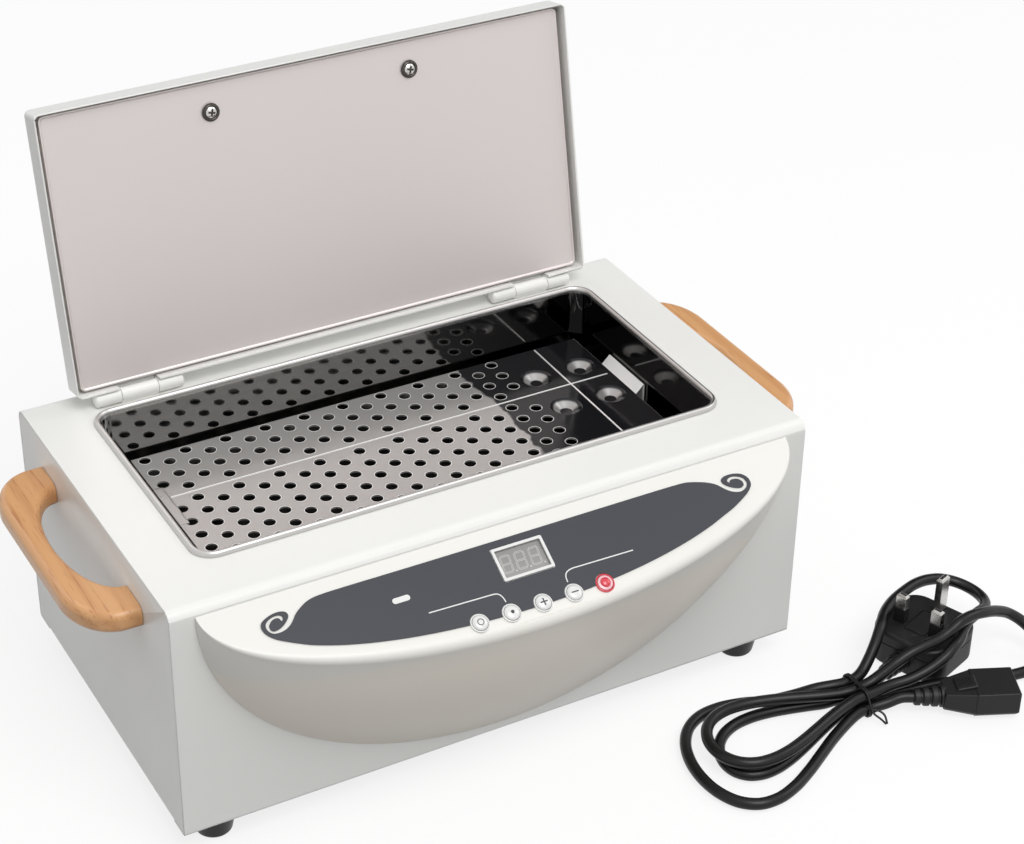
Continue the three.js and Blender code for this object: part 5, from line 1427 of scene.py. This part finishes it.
def half_moon(half_length, section, top, stations=160):
    """A closed body whose cross-section is drawn in towards both ends as a half-ellipse."""
    rows = len(section) - 1
    deselect()
    bpy.ops.mesh.primitive_grid_add(x_subdivisions=stations, y_subdivisions=rows, size=1)
    piece = bpy.context.object
    origin = Vector((0, FRONT_Y - GAP, top))
    for vertex in piece.data.vertices:
        angle = math.pi * (vertex.co.x + 0.5)
        point = section[round((0.5 - vertex.co.y) * rows)] * math.sin(angle)
        vertex.co = (Vector((-half_length * math.cos(angle), point.x, point.y)) + origin) * MM
    return edit(
        piece,
        (bpy.ops.mesh.remove_doubles, {"threshold": 0.00002}),
        (bpy.ops.mesh.select_all, {"action": "DESELECT"}),
        (bpy.ops.mesh.select_non_manifold, {}),
        (bpy.ops.mesh.edge_face_add, {}),
        (bpy.ops.mesh.select_all, {"action": "SELECT"}),
        (bpy.ops.mesh.normals_make_consistent, {"inside": False}),
    )


class STERILIZER_OT_fascia(Operator):
    """Makes the half-moon moulding that carries the controls"""

    bl_idname = "sterilizer.fascia"
    bl_label = "Fascia"

    def execute(self, context):
        wall = context.scene.sterilizer_body.fascia_wall / MM
        skin = fascia_section(FASCIA_REACH, FASCIA_DROP, FASCIA_ROUND, 0)
        piece = half_moon(FASCIA_HALF, skin, FACE_TOP)
        lining = fascia_section(FASCIA_REACH - 2 * wall, FASCIA_DROP - 4 * wall, FASCIA_ROUND - wall, 3)
        room = half_moon(FASCIA_HALF - 4 * wall, lining, FACE_TOP - wall / math.cos(SLOPE))
        cutters = []
        for index in range(len(BUTTONS)):
            cutters.append(rod(BUTTON_RADIUS + GAP, -12, 12, on_face(button_x(index), -BUTTON_DOWN)))
        half = Vector(BEZEL_SIZE) / 2 - Vector((1.2, 1.2))
        cutters.append(box_piece((-half.x, -half.y, -12), (half.x, half.y, 12), on_face(*BEZEL)))
        groove = box_piece((-28, -52.8, -0.5), (27, -52.4, 3), on_face())  # under the buttons
        cutters.append(groove)
        cut(piece, room, *cutters)
        heal(piece, 0.000004)
        finish(piece, "half_moon_fascia", "root", "cream_plastic", "plastic", "fascia", angle=38)
        return {"FINISHED"}


SCROLL_LEFT = [
    (-116.5, -10.5), (-119.3, -12.2), (-121.5, -14), (-123.3, -16), (-125.1, -17.6), (-127, -18.8),
    (-129, -19.6), (-131.2, -20), (-133.3, -20), (-134.9, -19.6), (-136.2, -18.6), (-137, -17.1),
    (-137.2, -15.5), (-136.7, -14.1), (-135.4, -12.8), (-133.3, -11.8), (-130.8, -11.3), (-128.8, -11.5),
    (-127.6, -12.4), (-127.6, -13.7), (-128.6, -14.8), (-129, -14.2), (-129.2, -13.5), (-129.9, -12.8),
    (-131.3, -12.6), (-133.1, -13.1), (-134.4, -14.1), (-135.4, -15.5), (-135.5, -16.9), (-135, -18),
    (-133.8, -18.6), (-132.2, -18.5), (-130.2, -17.9), (-128, -16.7), (-126.1, -15.2), (-124.9, -13.8),
    (-124.5, -12.5), (-125, -11.1), (-126.2, -10.3), (-128.4, -9.8), (-131.2, -9.9), (-134.2, -10.6),
    (-136.7, -11.6), (-138.5, -12.8), (-139.3, -14.4), (-139.4, -16.3), (-138.6, -18.6), (-136.8, -20.9),
    (-134, -23.2), (-130.4, -25.3), (-127, -27.1), (-123, -29.1), (-119.2, -30.8),
]
SCROLL_RIGHT = [
    (119.4, -28.8), (123.7, -26.9), (127.6, -25), (130.7, -23.3), (132.9, -21.6), (134.5, -19.7),
    (135, -18), (134.9, -15.9), (133.7, -13.9), (131.8, -12.3), (129, -11.3), (125.9, -10.9),
    (123, -11), (120.8, -11.7), (119.9, -12.7), (120, -14.3), (121.2, -15.9), (123.2, -17.6),
    (125.3, -18.8), (127.5, -19.5), (129.3, -19.5), (130.5, -18.8), (130.9, -17.7), (130.7, -16.4),
    (129.8, -15.1), (128.2, -14.2), (126.4, -13.9), (124.7, -14.1), (124.1, -14.8), (124.2, -15.8),
    (123.3, -15), (122.9, -14), (123.5, -13.2), (125.1, -12.5), (127.2, -12.4), (129.3, -13),
    (131.5, -14.2), (132.7, -15.8), (133, -17.6), (132.5, -19), (131.1, -20.4), (128.9, -21.4),
    (126.7, -21.6), (124.5, -21.1), (122.2, -20), (120.2, -18.4), (118.4, -16.5), (116.6, -14.5),
    (114.3, -12.8), (111.1, -11.2), (108.4, -10.2), (104.5, -9), (100.5, -8.1),
]


def label_outline():
    """The label's edge: a bowed foot, and ends that curl over into open scrolls."""
    foot = arc((-3, -9.5), (141, 37.6), math.pi + 0.63, 2 * math.pi - 0.63, 30)
    top = [
        (94, -7.8), (60, -7.7), (0, -7.8), (-60, -7.7), (-98, -7.5), (-104, -7.6), (-109.6, -8),
        (-113.5, -9),
    ]
    points = [Vector((*point, 0)) for point in [*foot, *SCROLL_RIGHT, *top, *SCROLL_LEFT]]
    line = smooth_line([*points, points[0]], 4)
    return [(point.x, point.y) for point in line[:-1]]


class STERILIZER_OT_label(Operator):
    """Makes the slate label with its scrolls, and the lines printed on it"""

    bl_idname = "sterilizer.label"
    bl_label = "Label"

    def execute(self, context):
        openings = [circle((button_x(i), -BUTTON_DOWN), LABEL_OPENING, 40) for i in range(len(BUTTONS))]
        openings.append(rounded_rectangle(29.2, 18.8, 1, 4, BEZEL))
        slab = film([label_outline()], GAP, LABEL_TOP, on_face())
        cut(slab, join(*[film([opening], -2, 2, on_face()) for opening in openings]))
        finish(slab, "slate_label", "root", "label_film", "film", "label", weighted=False)
        marks = [ribbon(line, 0.6) for line in PRINTED_LINES]
        marks.append(rounded_rectangle(9.4, 3, 1.45, 8, (-68.7, -22.4)))
        ink = join(*[film([mark], LABEL_TOP - 0.1, PRINT_TOP, on_face()) for mark in marks])
        finish(ink, "label_print", "root", "label_film", "ink", weighted=False)
        return {"FINISHED"}


def digit_segments(x, y, height=9, width=5, bar=0.95):
    """The seven outlined segments of one display digit."""
    half = height / 2
    gap, lean, line = 0.14, 0.1, 0.24
    places = [
        ((x, y + half), 0), ((x, y), 0), ((x, y - half), 0),
        ((x - width / 2, y + half / 2), 1), ((x + width / 2, y + half / 2), 1),
        ((x - width / 2, y - half / 2), 1), ((x + width / 2, y - half / 2), 1),
    ]
    loops = []
    for (cx, cy), upright in places:
        reach = (half if upright else width) / 2 - gap
        for thick, end, way in ((bar / 2, reach, 1), (bar / 2 - line, reach - 0.3, -1)):
            shape = [
                (-end, 0), (-end + thick, -thick), (end - thick, -thick),
                (end, 0), (end - thick, thick), (-end + thick, thick),
            ]
            if upright:
                shape = [(-b, a) for a, b in shape]
            loops.append([(cx + a + (cy + b - y) * lean, cy + b) for a, b in shape][::way])
    return loops


class STERILIZER_OT_display(Operator):
    """Makes the display's bezel, window and digits"""

    bl_idname = "sterilizer.display"
    bl_label = "Display"

    def execute(self, context):
        outer = rounded_rectangle(*BEZEL_SIZE, 0.9, 5)
        inner = rounded_rectangle(BEZEL_SIZE[0] - 3.2, BEZEL_SIZE[1] - 3.2, 0.5, 4)
        bezel = film([outer, inner], GAP, 1.4, on_face(*BEZEL))
        edit(bezel, (bpy.ops.mesh.dissolve_limited, {"angle_limit": 0.01}))
        bevel(bezel, 0.3, 2, 0.9)
        finish(bezel, "display_frame", "root", "cream_plastic", "cap", "display_bezel")
        pane = plate(rounded_rectangle(26.6, 16.2, 0.6, 4), -8.2, -0.35, on_face(*BEZEL))
        bevel(pane, 0.2, 2, 0.9)
        finish(pane, "display_pane", "root", "display_window", "window", "display_module")
        loops = []
        for x in (-DIGIT_PITCH, 0, DIGIT_PITCH):
            loops += digit_segments(x - 0.7, 0)
            loops.append(circle((x + 2.9, -4.7), 0.5, 12))
        digits = film(loops, -0.36, -0.3, on_face(*BEZEL))
        finish(digits, "display_digits", "root", "display_window", "segment", weighted=False)
        return {"FINISHED"}


def icon_loops(name):
    """The mark on a button, about the button's middle."""
    if name == "menu":
        return [circle((0, 0), 1.75, 28), circle((0, 0), 1.4, 28)[::-1]]
    if name == "temperature":
        return [circle((0, 0), 0.95, 20)]
    arm, thin = 1.9, 0.32
    if name == "minus":
        return [[(-arm, -thin), (arm, -thin), (arm, thin), (-arm, thin)]]
    return [
        [
            (-arm, -thin), (-thin, -thin), (-thin, -arm), (thin, -arm), (thin, -thin), (arm, -thin),
            (arm, thin), (thin, thin), (thin, arm), (-thin, arm), (-thin, thin), (-arm, thin),
        ]
    ]


class STERILIZER_OT_buttons(Operator):
    """Makes the domed buttons, the rings round them and their marks"""

    bl_idname = "sterilizer.buttons"
    bl_label = "Buttons"

    def execute(self, context):
        for index, name in enumerate(BUTTONS):
            body = "button_" + name
            spot = on_face(button_x(index), -BUTTON_DOWN)
            red = name == "reset"
            slot = SLOT_OF[body]
            dome = self.dome(BUTTON_RADIUS, 0.9, 0.7 if red else 1.4)
            stem = [(BUTTON_RADIUS, -2.7), (4.85, -2.7), (4.85, -3.6), (0, -3.6)]
            cap = turned((dome + stem)[::-1], spot)
            finish(cap, f"dome_{name}", body, slot, "pink" if red else "cap", body)
            ring = [(4.2, -2.2), (4.8, -2.2), (5, 0.2), (5, 0.75), (4.8, 1), (4.45, 1.05), (4.2, 0.8)]
            collar = turned(ring + ring[:1], spot)
            finish(collar, f"collar_{name}", "root", "cream_plastic", "red" if red else "cap")
            if red:
                jewel = self.dome(2.75, 1.3, 1.3) + [(2.75, 1), (0, 1)]
                finish(turned(jewel[::-1], spot), "jewel_reset", body, slot, "red")
            else:
                mark = film(icon_loops(name), 1.9, 2.37, spot)
                finish(mark, f"mark_{name}", body, "cream_plastic", "mark", weighted=False)
        return {"FINISHED"}

    def dome(self, radius, rim, rise):
        """A dome's profile from its middle to its rim."""
        profile = arc((0, rim), (radius, rise), math.pi / 2, 0, 14)
        return [(0, rim + rise), *profile[1:]]


# Handles


class STERILIZER_OT_handles(Operator):
    """Makes the two wooden handles"""

    bl_idname = "sterilizer.handles"
    bl_label = "Handles"

    def execute(self, context):
        rounding = context.scene.sterilizer_body.handle_round / MM
        out, along, up = 180, 2.7, 127.55
        half, thick = 71.2, 12.5
        grip, grip_half, wall = 19.5, 47.5, -16
        corner, bend = (8, half - 31.5), (24, 31.5)
        outline = [(wall, -half)]
        outline += arc((corner[0], -corner[1]), bend, -math.pi / 2, 0, 20)
        outline += arc(corner, bend, 0, math.pi / 2, 20)
        outline += [(wall, half), (wall, grip_half)]
        outline += arc((0, 0), (grip, grip_half), math.pi / 2, -math.pi / 2, 40)
        outline += [(wall, -grip_half)]
        at_the_panel = {
            "plane_co": (GAP * MM, 0, 0),
            "plane_no": (1, 0, 0),
            "use_fill": True,
            "clear_inner": True,
        }
        for side, name in ((1, "right"), (-1, "left")):
            handle = bevel(plate(outline, -thick / 2, thick / 2), rounding, 6, 0.7)
            edit(handle, (bpy.ops.mesh.bisect, at_the_panel))
            handle.data.transform(at(side * out, along, up) @ Matrix.Diagonal((side, 1, 1, 1)))
            heal(handle, 0.000001)
            label = f"beech_handle_{name}"
            finish(handle, label, "root", "beech_wood", "wood", f"handle_{name}", angle=42)
        return {"FINISHED"}


class STERILIZER_OT_fittings(Operator):
    """Smooths the inlet, the rocker switch and the pieces inside"""

    bl_idname = "sterilizer.fittings"
    bl_label = "Fittings"

    def execute(self, context):
        clothe("mains_inlet", "inlet_moulding", "black")
        clothe("switch_housing", "switch_frame", "black")
        clothe("switch_rocker", "switch_paddle", "black", angle=24)
        clothe("heater_element", "heater_tube", "plated", angle=50)
        return {"FINISHED"}


class STERILIZER_OT_stage(Operator):
    """Makes the pale floor, the lamps and the white surroundings"""

    bl_idname = "sterilizer.stage"
    bl_label = "Stage"

    def execute(self, context):
        deselect()
        bpy.ops.mesh.primitive_plane_add(size=14, location=(0, 0, -0.0004))
        floor = context.object
        floor.name = "studio_floor"
        floor.data.materials.append(self.floor_material())
        self.surroundings(context.scene)
        self.lamp("key", (0.05, -1.5, 2.3), 1.5, 38)
        self.lamp("side", (2.2, -0.6, 1.9), 1, 8)
        self.lamp("rear", (-0.5, 1.9, 2), 1.2, 6)
        self.card("far_card", (0.9, 1.5, 1.15), (2.6, 1.7))
        return {"FINISHED"}

    def white_rays(self, nodes):
        """1 for what the camera sees, straight or in metal and glass."""
        path = nodes.add("ShaderNodeLightPath", {}, {})
        share = path.outputs["Is Camera Ray"]
        for name in ("Is Glossy Ray", "Is Transmission Ray"):
            pair = {0: share, 1: path.outputs[name]}
            share = nodes.add("ShaderNodeMath", {"operation": "MAXIMUM"}, pair).outputs[0]
        return share

    def floor_material(self):
        """White paper that keeps the object's shadow."""
        material = bpy.data.materials.new("studio_paper")
        nodes = Nodes(material)
        paper = nodes.add("ShaderNodeBsdfDiffuse", {}, {"Color": (0.2, 0.2, 0.2)})
        light = {"Strength": self.white_rays(nodes), "Color": (0.8, 0.8, 0.8)}
        glow = nodes.add("ShaderNodeEmission", {}, light)
        both = nodes.add("ShaderNodeAddShader", {}, {0: paper.outputs[0], 1: glow.outputs[0]})
        nodes.add("ShaderNodeOutputMaterial", {}, {"Surface": both.outputs[0]})
        return material

    def surroundings(self, scene):
        """White to the camera, and a soft pale light on the object."""
        scene.world = bpy.data.worlds.new("studio")
        nodes = Nodes(scene.world)
        skies = {0: self.white_rays(nodes)}
        for index, level in ((1, 0.5), (2, 1)):
            sky = nodes.add("ShaderNodeBackground", {}, {"Color": (1, 1, 1), "Strength": level})
            skies[index] = sky.outputs[0]
        both = nodes.add("ShaderNodeMixShader", {}, skies)
        nodes.add("ShaderNodeOutputWorld", {}, {"Surface": both.outputs[0]})

    def facing(self, place, front):
        """The turn that points a side of something at a place to the sterilizer."""
        return (Vector((0, 0, 0.12)) - Vector(place)).to_track_quat(front, "Y").to_euler()

    def card(self, name, place, size):
        """A dark card beyond the view, which only polished metal shows."""
        deselect()
        bpy.ops.mesh.primitive_plane_add(size=1, location=place)
        card = bpy.context.object
        card.name = name
        card.scale = (*size, 1)
        card.rotation_euler = self.facing(place, "Z")
        black = Finish(name, Base_Color=(0.012, 0.012, 0.013), Roughness=0.9)
        card.data.materials.append(black.material)
        card.visible_camera = False
        card.visible_diffuse = False
        card.visible_shadow = False

    def lamp(self, name, place, size, power):
        """A soft square lamp turned to the sterilizer."""
        deselect()
        bpy.ops.object.light_add(type="AREA", location=place)
        lamp = bpy.context.object
        lamp.name = name + "_lamp"
        lamp.data.size = size
        lamp.data.energy = power
        lamp.rotation_euler = self.facing(place, "-Z")


class STERILIZER_PT_panel(Panel):
    """The list of the sterilizer's pieces, sizes and colours"""

    bl_label = "Dry Heat Sterilizer"
    bl_idname = "STERILIZER_PT_panel"
    bl_space_type = "VIEW_3D"
    bl_region_type = "UI"
    bl_category = "Sterilizer"

    def draw(self, context):
        for group in GROUPS:
            owner = getattr(context.scene, "sterilizer_" + group)
            for name in owner.__annotations__:
                self.layout.prop(owner, name)
        for maker in MAKERS:
            self.layout.operator(maker.bl_idname)


GROUPS = {"lead": LeadSizes, "sheet": SheetSizes, "body": BodySizes, "colours": FinishColours}
MAKERS = [
    STERILIZER_OT_camera,
    STERILIZER_OT_finishes,
    STERILIZER_OT_cord,
    STERILIZER_OT_connector,
    STERILIZER_OT_plug,
    STERILIZER_OT_tie,
    STERILIZER_OT_casing,
    STERILIZER_OT_feet,
    STERILIZER_OT_tank,
    STERILIZER_OT_tray,
    STERILIZER_OT_lid,
    STERILIZER_OT_fascia,
    STERILIZER_OT_label,
    STERILIZER_OT_display,
    STERILIZER_OT_buttons,
    STERILIZER_OT_handles,
    STERILIZER_OT_fittings,
    STERILIZER_OT_stage,
]


def register():
    """Makes the sizes, the operators and the panel known to Blender."""
    for cls in [*GROUPS.values(), *MAKERS, STERILIZER_PT_panel]:
        bpy.utils.register_class(cls)
    for name, group in GROUPS.items():
        setattr(bpy.types.Scene, "sterilizer_" + name, PointerProperty(type=group))


def unregister():
    """Takes them out again."""
    for name in GROUPS:
        delattr(bpy.types.Scene, "sterilizer_" + name)
    for cls in [STERILIZER_PT_panel, *MAKERS[::-1], *GROUPS.values()]:
        bpy.utils.unregister_class(cls)


def main():
    """Makes every piece in order."""
    register()
    for maker in MAKERS:
        operator = getattr(bpy.ops.sterilizer, maker.bl_idname.split(".")[1])
        operator()


if __name__ == "__main__":
    main()
